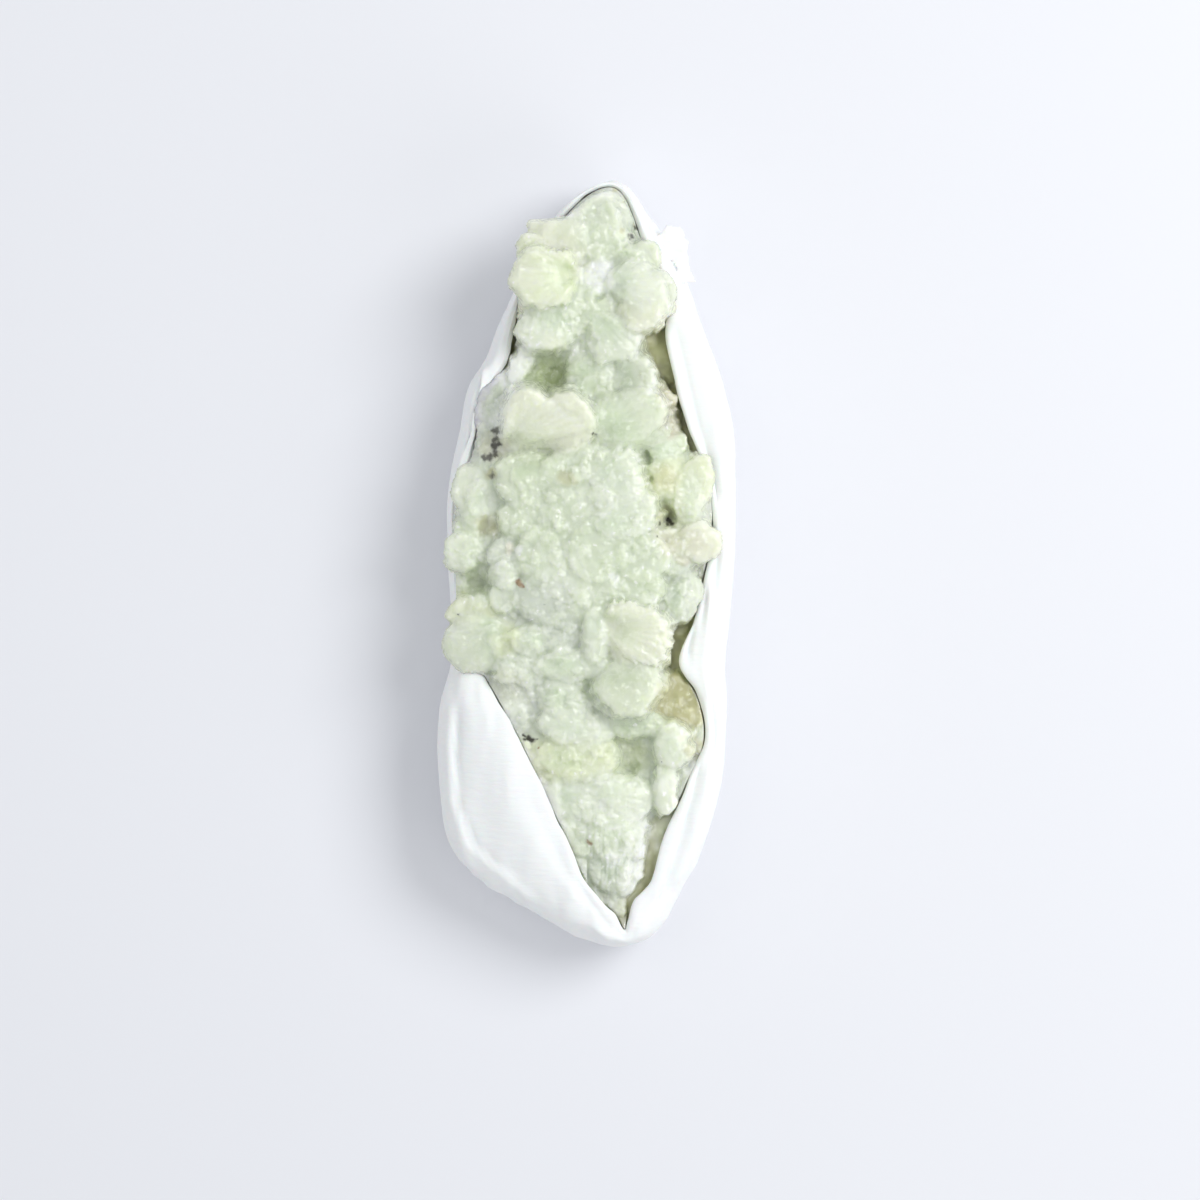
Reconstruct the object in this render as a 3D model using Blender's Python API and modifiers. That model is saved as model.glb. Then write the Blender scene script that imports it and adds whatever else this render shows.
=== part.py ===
"""Prehnite plate lying in its folded white tissue: one solid for the stone, one for the tissue.

Seen from above, +Y runs from the broad lower end to the narrow upper end and +Z is up.
The origin is under the middle of the tissue, on the surface that it lies on.
The tables are in millimetres, and MM turns them into metres.
"""

import math
import random

import bmesh
import bpy
from mathutils import Vector

MM = 0.001

# Tissue wrap
SHEET_THICKNESS = 0.8
WIDEST_HEIGHT = 8.5
LOWER_HEIGHT = 3.0
BASE_SHARE = 0.66
SPINE_END = 44.0
OUTLINE_STEPS = 60
RIM_TURN_DOWN = 0.9

# Places across the sheet, as shares of its way from the rim to the outer edge, or on to the base
CREST_SHARE = 0.22
ROLL_SHARE = 0.66
LOWER_SHARE = 0.22
CREST_FALL = 0.04
ROLL_FALL = 0.10
SIDE_SHARE = 0.55
SIDE_INSET = 0.5

# Clearance that the stone keeps from the sheet
GAP = 0.35
RIM_GAP = 0.5
NARROW_STRIP = 2.2
SHOULDER_REACH = 0.2
SHOULDER_DROP = 0.3
SIDE_GAP = 0.35
SIDE_DROP = 0.4
WIDEST_GAP = 0.3
LOWER_GAP_SHARE = 0.12
FAR_OUT = 1.7
BELOW_ALL = -8.0

# Stone
STONE_FLOOR = 1.3
STONE_SIDE = 7.5
STONE_SEED = 11
SHOULDER_WIDTH = 0.84
SHOULDER_FALL = 2.4
CROWN_WIDTH = 0.34
SIDE_RISE = 2.4
KEEL_WIDTH = 0.90
KEEL_FALL = 2.6
FLOOR_WIDTH = 0.50
SIDE_ROUGHNESS = 0.8
SHOULDER_ROUGHNESS = 0.4
CROWN_ROUGHNESS = 0.5
UNDERSIDE_ROUGHNESS = 1.1
UNDERSIDE_LEAST = 0.2
ACROSS_ROUGHNESS = 0.3
ALONG_ROUGHNESS = 0.5
LUMP_SIDES = 7
TOOTH_SIDES = 4
CREST_RINGS = 5
CREST_SQUARENESS = 0.74
CAP_SHARE = 0.42
SIDE_CURVE = 0.8
TOOTH_SIZE = 0.07
TOOTHED_ARC = math.radians(100)
SPLAY = 0.15
FAN_LEAN = 0.35
LUMP_SPREAD = 1.14
FIRST_TOOTH = 0.35
ROOT_HEIGHT = 8.6

# Each row is a place round the tissue, clockwise from the upper tip:
# outer edge x, y, then rim x, y and height, where the sheet ends over the stone.
OUTLINE = (
    (3.5, 60.0, 3.5, 58.9, 14.5),
    (6.6, 58.9, 5.7, 57.7, 14.5),
    (9.1, 55.3, 7.2, 54.7, 14.5),
    (11.6, 52.0, 8.6, 50.6, 14.5),
    (13.8, 48.0, 10.8, 46.3, 14.8),
    (16.2, 42.8, 12.8, 41.8, 15.0),
    (17.5, 39.2, 12.5, 38.0, 15.2),
    (19.2, 34.6, 12.5, 34.6, 15.5),
    (21.5, 28.0, 14.0, 28.0, 16.0),
    (23.0, 21.2, 15.9, 21.2, 16.0),
    (23.4, 14.0, 18.7, 14.2, 15.5),
    (23.3, 6.0, 19.7, 6.3, 15.0),
    (22.9, -2.0, 18.3, -1.8, 15.5),
    (22.4, -8.5, 16.5, -8.8, 16.0),
    (21.7, -15.6, 14.4, -15.4, 16.0),
    (21.9, -21.2, 17.4, -21.0, 15.5),
    (21.7, -28.0, 18.3, -27.6, 15.5),
    (21.0, -34.6, 15.5, -34.4, 16.0),
    (18.8, -42.8, 12.0, -42.6, 16.0),
    (15.9, -49.0, 9.9, -49.2, 15.5),
    (13.0, -54.4, 7.2, -52.6, 15.0),
    (10.0, -58.4, 6.3, -55.6, 14.5),
    (5.7, -60.0, 5.9, -57.0, 14.0),
    (0.3, -58.8, 4.5, -54.7, 15.5),
    (-4.7, -56.7, 2.1, -52.2, 17.0),
    (-10.5, -53.2, -0.5, -48.6, 18.0),
    (-16.6, -49.4, -2.8, -43.4, 18.6),
    (-21.2, -43.8, -4.8, -39.2, 18.8),
    (-22.6, -36.6, -7.2, -34.0, 18.8),
    (-23.2, -28.4, -9.9, -28.4, 18.6),
    (-22.8, -21.6, -13.4, -21.8, 17.6),
    (-21.4, -16.2, -16.4, -16.6, 15.4),
    (-21.0, -11.4, -18.8, -11.6, 13.4),
    (-21.3, -5.0, -19.4, -5.0, 13.0),
    (-21.7, 2.0, -19.7, 2.0, 13.2),
    (-21.9, 8.6, -19.8, 8.4, 14.0),
    (-21.2, 14.6, -18.4, 14.2, 14.8),
    (-19.8, 20.6, -17.0, 20.2, 15.0),
    (-18.6, 27.2, -15.4, 26.8, 15.0),
    (-15.8, 32.0, -12.4, 31.4, 15.2),
    (-14.3, 36.0, -11.5, 35.6, 15.0),
    (-12.0, 41.0, -10.4, 40.4, 14.4),
    (-9.6, 46.2, -8.4, 45.6, 14.0),
    (-7.0, 51.2, -5.9, 50.6, 14.0),
    (-4.1, 55.4, -3.1, 54.6, 14.2),
    (-0.5, 58.7, 0.3, 57.7, 14.5),
)

# The torn scrap of tissue that stands out at the upper right: corner x, y.
SCRAP = (
    (10.6, 50.6),
    (12.8, 53.0),
    (14.7, 52.9),
    (15.8, 50.6),
    (16.0, 47.0),
    (16.9, 44.0),
    (14.0, 43.6),
)
SCRAP_HEIGHT = 13.2
SCRAP_THICKNESS = 0.8

# The massive base of the stone, along its length: y, left x, right x, top height.
BASE = (
    (57.4, 1.4, 5.0, 13.4),
    (54.0, -3.2, 6.4, 15.4),
    (49.0, -7.4, 7.4, 17.0),
    (44.0, -10.0, 11.4, 18.6),
    (39.5, -10.0, 12.0, 18.4),
    (36.0, -9.4, 8.4, 17.8),
    (32.0, -12.4, 9.4, 15.2),
    (28.0, -15.4, 11.8, 15.0),
    (24.0, -16.6, 13.6, 17.0),
    (19.0, -17.2, 14.4, 18.0),
    (14.0, -18.4, 17.2, 18.4),
    (9.0, -19.2, 18.2, 17.6),
    (4.0, -19.6, 18.2, 17.8),
    (-1.0, -19.4, 16.4, 17.8),
    (-6.0, -19.4, 15.4, 17.8),
    (-11.0, -19.2, 12.4, 18.2),
    (-16.0, -17.4, 12.2, 17.8),
    (-21.0, -17.0, 16.4, 16.4),
    (-26.0, -17.0, 16.8, 15.8),
    (-31.0, -16.4, 15.0, 15.6),
    (-36.0, -14.6, 12.8, 15.8),
    (-41.0, -12.0, 10.2, 15.6),
    (-46.0, -8.0, 8.2, 14.8),
    (-51.0, -2.6, 6.6, 13.0),
    (-54.6, 2.4, 5.2, 11.6),
)

# Serrated fans: x, y, reach, half width, heading in degrees, top height, rise, teeth.
FANS = (
    (-8.8, 22.4, 4.6, 4.6, 92, 23.0, 2.6, 4),
    (-3.2, 21.6, 4.6, 4.4, 52, 23.4, 2.4, 4),
    (6.4, 22.6, 6.4, 4.4, 18, 21.6, 1.2, 4),
    (7.6, 29.2, 3.4, 3.9, 5, 20.4, 1.2, 4),
    (4.4, 13.0, 4.8, 4.8, 12, 22.2, 0.8, 5),
    (6.2, 7.6, 5.2, 3.6, 22, 22.0, 1.0, 4),
    (7.9, -11.0, 5.6, 4.9, -8, 22.8, 1.2, 5),
    (6.4, -19.6, 4.2, 5.6, -78, 23.2, 1.6, 4),
    (-17.8, -12.4, 4.6, 4.6, 222, 18.8, -0.6, 5),
    (-17.6, -7.2, 4.2, 2.3, 190, 18.4, -0.4, 3),
    (-6.6, 36.4, 3.6, 4.6, 266, 20.8, 0.6, 4),
    (4.2, 34.9, 3.7, 4.4, -62, 20.8, 0.8, 4),
    (9.0, 40.2, 3.6, 4.6, -42, 22.0, 0.8, 4),
    (-7.2, 44.2, 4.6, 4.8, 186, 23.2, 0.6, 4),
    (16.6, 11.6, 5.6, 2.7, 68, 18.6, 0.8, 4),
)

# Rounded lumps and blocks: x, y, half length, half width, heading in degrees, top height, rise.
LUMPS = (
    (1.6, 54.4, 4.4, 5.0, 90, 17.2, -1.6),
    (-4.2, 51.4, 4.5, 3.2, 140, 19.4, -0.8),
    (1.8, 51.0, 3.2, 4.2, 270, 19.2, 0.8),
    (-8.4, 48.4, 2.6, 2.4, 130, 20.4, 0.0),
    (2.3, 44.8, 2.6, 2.4, 90, 19.0, 0.0),
    (8.2, 47.4, 3.1, 2.3, 20, 19.4, 0.4),
    (7.2, 43.8, 3.7, 2.8, 10, 20.8, 0.0),
    (11.0, 42.4, 2.7, 2.9, -20, 21.0, 0.0),
    (-0.6, 39.8, 3.8, 2.9, 200, 20.2, 0.0),
    (-10.4, 31.2, 3.0, 1.4, 62, 17.6, 0.0),
    (-8.6, 28.4, 1.9, 1.8, 0, 16.6, 0.0),
    (-5.6, 28.4, 1.5, 1.5, 0, 15.2, 0.0),
    (0.4, 30.4, 4.0, 3.2, 80, 18.8, 0.0),
    (2.6, 27.2, 2.6, 2.0, 150, 19.4, 0.0),
    (12.5, 25.8, 1.5, 1.4, 0, 17.2, 0.0),
    (13.3, 22.0, 1.3, 2.3, -8, 16.4, 0.0),
    (-14.6, 25.0, 4.2, 2.3, 72, 16.6, 0.0),
    (-15.4, 19.4, 2.6, 1.9, 80, 16.2, 0.0),
    (12.4, 18.0, 2.9, 1.7, 30, 17.4, 0.0),
    (12.2, 13.2, 2.9, 2.6, 70, 18.4, 0.0),
    (-9.2, 13.0, 4.6, 3.9, 170, 21.2, 0.0),
    (-2.0, 15.2, 4.4, 2.6, 15, 21.8, 0.0),
    (-1.2, 9.4, 4.8, 4.2, 30, 21.8, 0.0),
    (-8.6, 6.6, 4.6, 3.2, 0, 20.8, 0.0),
    (17.6, 3.4, 2.9, 2.7, 10, 20.2, 0.0),
    (12.8, 3.6, 2.5, 2.4, 0, 19.4, 0.0),
    (14.2, 0.4, 2.9, 1.7, 10, 19.0, 0.0),
    (-17.4, 10.2, 4.4, 2.9, 112, 17.8, 0.0),
    (-19.0, 1.6, 3.0, 2.7, 150, 18.4, 0.0),
    (-18.2, 5.4, 2.2, 1.9, 0, 17.2, 0.0),
    (-13.0, 1.6, 2.2, 2.1, 90, 20.2, 0.0),
    (-12.8, -1.8, 2.0, 2.0, 0, 20.6, 0.0),
    (-12.8, -5.2, 2.1, 2.0, 60, 20.0, 0.0),
    (-16.2, -5.2, 1.5, 1.3, 30, 17.4, 0.0),
    (-5.4, 1.4, 5.0, 4.2, 20, 21.6, 0.0),
    (2.0, 2.4, 5.0, 4.0, 60, 22.2, 0.0),
    (8.4, 1.0, 3.9, 3.4, 0, 21.4, 0.0),
    (-6.0, -5.0, 4.8, 3.6, 10, 21.0, 0.0),
    (0.6, -4.6, 4.4, 3.6, 90, 21.4, 0.0),
    (7.4, -4.0, 4.2, 2.9, 0, 21.2, 0.0),
    (15.2, -5.0, 2.5, 3.6, -12, 18.4, 0.0),
    (-12.6, -12.4, 2.4, 2.1, 20, 19.2, 0.0),
    (-9.0, -11.8, 2.5, 2.0, 200, 20.2, 0.4),
    (-4.4, -10.6, 3.0, 2.6, 90, 20.6, 0.0),
    (1.2, -11.0, 3.7, 1.8, 92, 21.8, 0.0),
    (-2.4, -15.8, 5.2, 2.2, 0, 20.6, 0.0),
    (-10.4, -16.2, 3.7, 2.4, -8, 19.4, 0.0),
    (-9.8, -21.4, 3.4, 3.0, 300, 17.4, 0.0),
    (-3.8, -20.8, 3.3, 2.8, 0, 19.8, 0.0),
    (-2.6, -25.2, 4.2, 2.5, -8, 20.2, 0.0),
    (2.8, -24.6, 2.7, 2.4, 30, 19.6, 0.0),
    (-1.4, -30.0, 5.8, 3.4, 5, 19.6, 0.0),
    (8.0, -24.8, 3.5, 2.0, 0, 19.0, 0.0),
    (13.6, -28.2, 3.1, 2.8, 80, 20.0, 0.0),
    (12.2, -34.8, 3.8, 1.7, 268, 19.2, 0.0),
    (-3.9, -36.2, 2.4, 2.3, 0, 18.2, 0.0),
    (1.4, -37.0, 3.3, 3.2, 90, 18.8, 0.0),
    (6.6, -36.4, 3.4, 3.3, 0, 18.8, 0.0),
    (-0.4, -42.0, 3.2, 3.2, 30, 17.6, 0.0),
    (4.0, -42.0, 3.8, 3.0, 90, 18.2, 0.0),
    (7.6, -41.6, 4.0, 2.0, 95, 17.4, 0.0),
    (3.6, -47.4, 3.6, 3.0, 120, 16.8, 0.0),
    (6.6, -47.0, 4.2, 1.9, 80, 16.2, 0.0),
    (4.6, -51.8, 3.0, 1.7, 100, 15.0, 0.0),
)

# Flat smooth face of yellower prehnite at the lower right: corner x, y, height.
WEDGE = (
    (14.0, -16.2, 14.6),
    (18.2, -22.4, 14.0),
    (18.0, -25.4, 13.4),
    (9.2, -22.6, 16.0),
)
WEDGE_DEPTH = 6.0


def linked(name, mesh, collection):
    """A new object with this mesh, in this collection."""
    piece = bpy.data.objects.new(name, mesh)
    collection.objects.link(piece)
    return piece


def mesh_from(name, bm):
    """The finished mesh of a bmesh, its faces turned outwards."""
    bmesh.ops.recalc_face_normals(bm, faces=bm.faces)
    mesh = bpy.data.meshes.new(name)
    bm.to_mesh(mesh)
    bm.free()
    return mesh


def finish(name, colour, roughness):
    """A plain material for one part."""
    material = bpy.data.materials.new(name)
    material.use_nodes = True
    shader = material.node_tree.nodes["Principled BSDF"]
    shader.inputs["Base Color"].default_value = (*colour, 1.0)
    shader.inputs["Roughness"].default_value = roughness
    shader.inputs["Metallic"].default_value = 0.0
    return material


def smooth_row(table, place):
    """The table's values at a place round it, on a closed smooth curve through its rows."""
    count = len(table)
    first = math.floor(place)
    t = place - first
    before, start, end, after = (table[(first + k) % count] for k in (-1, 0, 1, 2))
    values = []
    for a, b, c, d in zip(before, start, end, after):
        values.append(0.5 * (2 * b + (c - a) * t + (2 * a - 5 * b + 4 * c - d) * t**2
                             + (3 * b - a - 3 * c + d) * t**3))
    return values


def wrap_profile(row):
    """The points of the sheet at one place round it, from the rim over the side to the base."""
    outer = Vector((row[0], row[1], 0.0))
    rim = Vector((row[2], row[3], 0.0))
    height = row[4]
    along = max(-SPINE_END, min(SPINE_END, outer.y))
    base = Vector((0.0, along, 0.0)).lerp(outer, BASE_SHARE)
    inward = (base - outer).normalized()
    width = (rim - outer).length
    up = Vector((0.0, 0.0, 1.0))
    crest = height - CREST_FALL * width
    side = WIDEST_HEIGHT + SIDE_SHARE * (crest - WIDEST_HEIGHT)
    return (
        rim + up * (height - RIM_TURN_DOWN),
        rim.lerp(outer, CREST_SHARE) + up * height,
        rim.lerp(outer, ROLL_SHARE) + up * (crest - ROLL_FALL * width),
        outer + inward * SIDE_INSET + up * side,
        outer + up * WIDEST_HEIGHT,
        outer.lerp(base, LOWER_SHARE) + up * LOWER_HEIGHT,
        base,
    )


def room_profile(row):
    """The points that bound the room inside the tissue at one place round it, out to past the rim."""
    outer = Vector((row[0], row[1], 0.0))
    rim = Vector((row[2], row[3], 0.0))
    _, _, roll, side, _, lower, base = wrap_profile(row)
    into = (rim - outer).normalized()
    up = Vector((0.0, 0.0, 1.0))
    clear = SHEET_THICKNESS + GAP
    over = rim + into * RIM_GAP + up * (row[4] + GAP)
    under_rim = over - up * (GAP + RIM_TURN_DOWN + clear)
    broad = max(0.0, min(1.0, ((rim - outer).length - NARROW_STRIP) / NARROW_STRIP))
    shoulder = under_rim.lerp(roll + into * SHOULDER_REACH, broad)
    shoulder.z = min(roll.z - clear, under_rim.z) - SHOULDER_DROP
    return (
        Vector((outer.x * FAR_OUT, outer.y * FAR_OUT, BELOW_ALL)),
        Vector((outer.x * FAR_OUT, outer.y * FAR_OUT, row[4] + GAP)),
        over,
        under_rim,
        shoulder,
        side + into * (clear + SIDE_GAP) - up * SIDE_DROP,
        outer + into * (clear + WIDEST_GAP) + up * WIDEST_HEIGHT,
        lower.lerp(base, LOWER_GAP_SHARE) + up * clear,
        base + up * clear,
    )


def ring_surface(profile, closed_first=False):
    """A surface round the outline with this profile, closed by a flat face inside its last ring."""
    bm = bmesh.new()
    rings = []
    for step in range(OUTLINE_STEPS):
        row = smooth_row(OUTLINE, step * len(OUTLINE) / OUTLINE_STEPS)
        rings.append([bm.verts.new(point * MM) for point in profile(row)])
    for step, ring in enumerate(rings):
        following = rings[(step + 1) % OUTLINE_STEPS]
        for level in range(len(ring) - 1):
            bm.faces.new((ring[level], ring[level + 1], following[level + 1], following[level]))
    bm.faces.new([ring[-1] for ring in rings])
    if closed_first:
        bm.faces.new([ring[0] for ring in rings])
    return bm


def torn_scrap(collection):
    """The torn scrap that the sheet carries at the upper right."""
    bm = bmesh.new()
    corners = [bm.verts.new(Vector((x, y, SCRAP_HEIGHT)) * MM) for x, y in SCRAP]
    top = bm.faces.new(corners)
    grown = bmesh.ops.extrude_face_region(bm, geom=[top])["geom"]
    for vert in (item for item in grown if isinstance(item, bmesh.types.BMVert)):
        vert.co.z -= SCRAP_THICKNESS * MM
    return linked("scrap_form", mesh_from("scrap_form", bm), collection)


def tissue_wrap(parts, cutters):
    """The folded tissue: one open sheet made thick, with its torn scrap joined on."""
    mesh = mesh_from("tissue_wrap", ring_surface(wrap_profile))
    base = mesh.polygons[-1]
    if base.normal.z > 0:
        mesh.flip_normals()
    wrap = linked("tissue_wrap", mesh, parts)
    thickness = wrap.modifiers.new("sheet thickness", "SOLIDIFY")
    thickness.thickness = SHEET_THICKNESS * MM
    thickness.offset = -1.0
    joined = wrap.modifiers.new("torn scrap", "BOOLEAN")
    joined.operation = "UNION"
    joined.solver = "EXACT"
    joined.object = torn_scrap(cutters)
    return wrap


def room_outside(collection):
    """Everything that the stone may not enter: the tissue, its clearance and what is outside it."""
    mesh = mesh_from("room_outside", ring_surface(room_profile, closed_first=True))
    return linked("room_outside", mesh, collection)


def base_section(y, left, right, top, rng):
    """One section of the massive base: its points from the left top round to the left side."""
    middle = (left + right) / 2
    half = (right - left) / 2
    side = STONE_SIDE + rng.uniform(-SIDE_ROUGHNESS, SIDE_ROUGHNESS)

    def shoulder():
        return top - SHOULDER_FALL + rng.uniform(-SHOULDER_ROUGHNESS, SHOULDER_ROUGHNESS)

    def crown():
        return top + rng.uniform(-CROWN_ROUGHNESS, CROWN_ROUGHNESS)

    def floor(least):
        return STONE_FLOOR + rng.uniform(least, UNDERSIDE_ROUGHNESS)

    points = (
        (middle - SHOULDER_WIDTH * half, shoulder()),
        (middle - CROWN_WIDTH * half, crown()),
        (middle + CROWN_WIDTH * half, crown()),
        (middle + SHOULDER_WIDTH * half, shoulder()),
        (right, side + SIDE_RISE),
        (middle + KEEL_WIDTH * half, side - KEEL_FALL),
        (middle + FLOOR_WIDTH * half, floor(UNDERSIDE_LEAST)),
        (middle, floor(0.0)),
        (middle - FLOOR_WIDTH * half, floor(UNDERSIDE_LEAST)),
        (middle - KEEL_WIDTH * half, side - KEEL_FALL),
        (left, side + SIDE_RISE),
    )
    section = []
    for x, z in points:
        across = x + rng.uniform(-ACROSS_ROUGHNESS, ACROSS_ROUGHNESS)
        along = y + rng.uniform(-ALONG_ROUGHNESS, ALONG_ROUGHNESS)
        section.append(Vector((across, along, z)))
    return section


def stone_base(collection):
    """The massive base that the fans grow from, lofted along its length."""
    rng = random.Random(STONE_SEED)
    bm = bmesh.new()
    rings = []
    for y, left, right, top in BASE:
        rings.append([bm.verts.new(point * MM) for point in base_section(y, left, right, top, rng)])
    for ring, following in zip(rings, rings[1:]):
        for k, vert in enumerate(ring):
            after = (k + 1) % len(ring)
            bm.faces.new((vert, ring[after], following[after], following[k]))
    bm.faces.new(rings[0])
    bm.faces.new(rings[-1])
    return linked("prehnite_plate", mesh_from("prehnite_plate", bm), collection)


def crest_point(unit, row, teeth):
    """Where a point of the unit sphere lies on a fan or a lump."""
    x, y, reach, half_width, heading, top, rise = row[:7]
    cap = CAP_SHARE * min(reach, half_width)
    depth = top - cap - abs(rise) - ROOT_HEIGHT
    angle = math.atan2(unit.y, unit.x)
    plan = math.hypot(unit.x, unit.y) ** CREST_SQUARENESS
    if teeth and plan > FIRST_TOOTH and abs(angle) < TOOTHED_ARC:
        step = round(angle / (2 * math.pi) * TOOTH_SIDES * teeth)
        plan *= 1 + TOOTH_SIZE if step % 2 else 1 - TOOTH_SIZE
    along = plan * math.cos(angle)
    across = plan * math.sin(angle)
    level = max(-1.0, min(1.0, unit.z))
    if level >= 0:
        z = top - cap + cap * level**CREST_SQUARENESS + rise * along
    else:
        sink = (-level) ** SIDE_CURVE
        along = along * (1 + SPLAY * sink) - (FAN_LEAN * sink if teeth else 0.0)
        across *= 1 + SPLAY * sink
        z = top - cap - depth * sink + rise * along
    spread = 1.0 if teeth else LUMP_SPREAD
    forward = Vector((math.cos(math.radians(heading)), math.sin(math.radians(heading))))
    plan_place = Vector((x, y)) + forward * along * reach * spread
    plan_place += forward.orthogonal() * across * half_width * spread
    return Vector((plan_place.x, plan_place.y, z)) * MM


def crest(name, row, teeth, collection):
    """A fan or a lump: a sphere squared off, tilted, and drawn down to its root."""
    bm = bmesh.new()
    bmesh.ops.create_uvsphere(
        bm,
        u_segments=TOOTH_SIDES * teeth if teeth else LUMP_SIDES,
        v_segments=CREST_RINGS,
        radius=1,
    )
    for vert in bm.verts:
        vert.co = crest_point(vert.co, row, teeth)
    return linked(name, mesh_from(name, bm), collection)


def wedge(collection):
    """The smooth yellower face at the lower right, as a block under it."""
    bm = bmesh.new()
    top = bm.faces.new([bm.verts.new(Vector(corner) * MM) for corner in WEDGE])
    grown = bmesh.ops.extrude_face_region(bm, geom=[top])["geom"]
    for vert in (item for item in grown if isinstance(item, bmesh.types.BMVert)):
        vert.co.z -= WEDGE_DEPTH * MM
    return linked("wedge_form", mesh_from("wedge_form", bm), collection)


def prehnite_plate(parts, crests, cutters):
    """The stone: base, fans and lumps joined in one solid, then kept clear of the tissue."""
    stone = stone_base(parts)
    for k, row in enumerate(FANS):
        crest(f"fan_{k + 1:02d}", row, row[7], crests)
    for k, row in enumerate(LUMPS):
        crest(f"lump_{k + 1:02d}", row, 0, crests)
    wedge(crests)
    joined = stone.modifiers.new("fans and lumps", "BOOLEAN")
    joined.operation = "UNION"
    joined.solver = "EXACT"
    joined.operand_type = "COLLECTION"
    joined.collection = crests
    # The exact solver keeps the wrong side of this cut, so it uses the manifold one.
    clear = stone.modifiers.new("clear of the tissue", "BOOLEAN")
    clear.operation = "DIFFERENCE"
    clear.solver = "MANIFOLD"
    clear.object = room_outside(cutters)
    return stone


def main():
    for old in list(bpy.data.objects):
        bpy.data.objects.remove(old, do_unlink=True)
    scene = bpy.context.scene.collection
    parts = bpy.data.collections.new("Prehnite plate")
    cutters = bpy.data.collections.new("Cutters")
    crests = bpy.data.collections.new("Crests")
    scene.children.link(parts)
    scene.children.link(cutters)
    cutters.children.link(crests)
    stone = prehnite_plate(parts, crests, cutters)
    stone.data.materials.append(finish("Prehnite", (0.62, 0.70, 0.50), 0.42))
    wrap = tissue_wrap(parts, cutters)
    wrap.data.materials.append(finish("White tissue", (0.86, 0.86, 0.88), 0.85))
    for helper in cutters.all_objects:
        helper.hide_render = True
        helper.display_type = "WIRE"


main()
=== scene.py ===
"""Looks of the prehnite plate in its white tissue: stone, tissue, materials, light and camera.

The tables are in millimetres, as in the part's own source, and MM turns them into metres.
"""

import math

import bmesh
import bpy
import numpy as np
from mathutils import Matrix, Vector


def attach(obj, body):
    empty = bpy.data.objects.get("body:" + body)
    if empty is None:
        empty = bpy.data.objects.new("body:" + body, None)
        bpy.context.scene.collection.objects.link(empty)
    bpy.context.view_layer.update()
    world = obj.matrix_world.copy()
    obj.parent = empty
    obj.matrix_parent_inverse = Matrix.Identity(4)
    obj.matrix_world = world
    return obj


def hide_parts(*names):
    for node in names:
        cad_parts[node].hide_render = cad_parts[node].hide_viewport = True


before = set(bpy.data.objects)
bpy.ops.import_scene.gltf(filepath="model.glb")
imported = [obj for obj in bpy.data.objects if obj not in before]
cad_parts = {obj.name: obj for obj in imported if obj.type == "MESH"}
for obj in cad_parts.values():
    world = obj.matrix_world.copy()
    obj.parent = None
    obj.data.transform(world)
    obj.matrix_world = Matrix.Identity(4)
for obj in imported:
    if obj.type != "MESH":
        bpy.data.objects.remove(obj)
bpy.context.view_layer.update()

MM = 0.001
SEED = 7

# Camera: the photo is square and 187.5 mm wide at half the height of the stone.
VIEW_WIDTH = 187.5
VIEW_CENTRE = (2.1, -5.6)
VIEW_HEIGHT = 13.0
CAMERA_DISTANCE = 900.0
SENSOR_WIDTH = 36.0

# Tissue wrap
SHEET_THICKNESS = 0.8
SHEET_LOOKS = 0.45
WIDEST_HEIGHT = 8.5
LOWER_HEIGHT = 3.0
BASE_SHARE = 0.66
SPINE_END = 44.0
RIM_TURN_DOWN = 0.9
GAP = 0.35
RIM_GAP = 0.1
NARROW_STRIP = 2.2
FOLD_DEPTH = 1.4
FAR_OUT = 1.7
BELOW_ALL = -8.0
WRAP_STEPS = 600
ROOM_STEPS = 300

# Stone
# Each row of SCALES is one size of small fan: how many, least and most reach, lift of the free edge.
CELL = 0.16
FIELD_LEFT = -23.4
FIELD_RIGHT = 21.4
FIELD_LOW = -58.4
FIELD_HIGH = 59.6
STONE_TRIANGLES = 190000
CREST_SQUARENESS = 0.74
CAP_SHARE = 0.42
LUMP_SPREAD = 1.14
LUMP_BLEND = 2.4
LUMPS_UNDER_FANS = 0.35
VALLEY_FILL = 0.55
ROOT_HEIGHT = 8.6
STONE_FLOOR = 1.3
SHELF_HEIGHT = 11.0
SHELF_UNDER_RIM = 0.3
EDGE_RADIUS = 0.6
FRILL_RADIUS = 0.17
FRILL_DROP = 0.25
CREASE_RADIUS = 0.34
STEEPEST = 4.2
SKIRT_REACH = 1.2
EDGE_THICKNESS = 3.0
FAN_LIFT = 1.3
FAN_BLEND = 0.5
BOLD_EDGE = 22.7
EDGE_FALL = 2.2
FULL_TURN = 5.2
TINT_LEVEL = 0.965
# How many painted glints, small white highlights, are dyed into the stone's tint.
PAINTED_GLINTS = 260
SHELF_INSET = 1.2
SCALES = (
    (150, 2.0, 3.4, 0.36),
    (380, 1.2, 2.0, 0.20),
    (800, 0.7, 1.2, 0.08),
)

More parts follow.
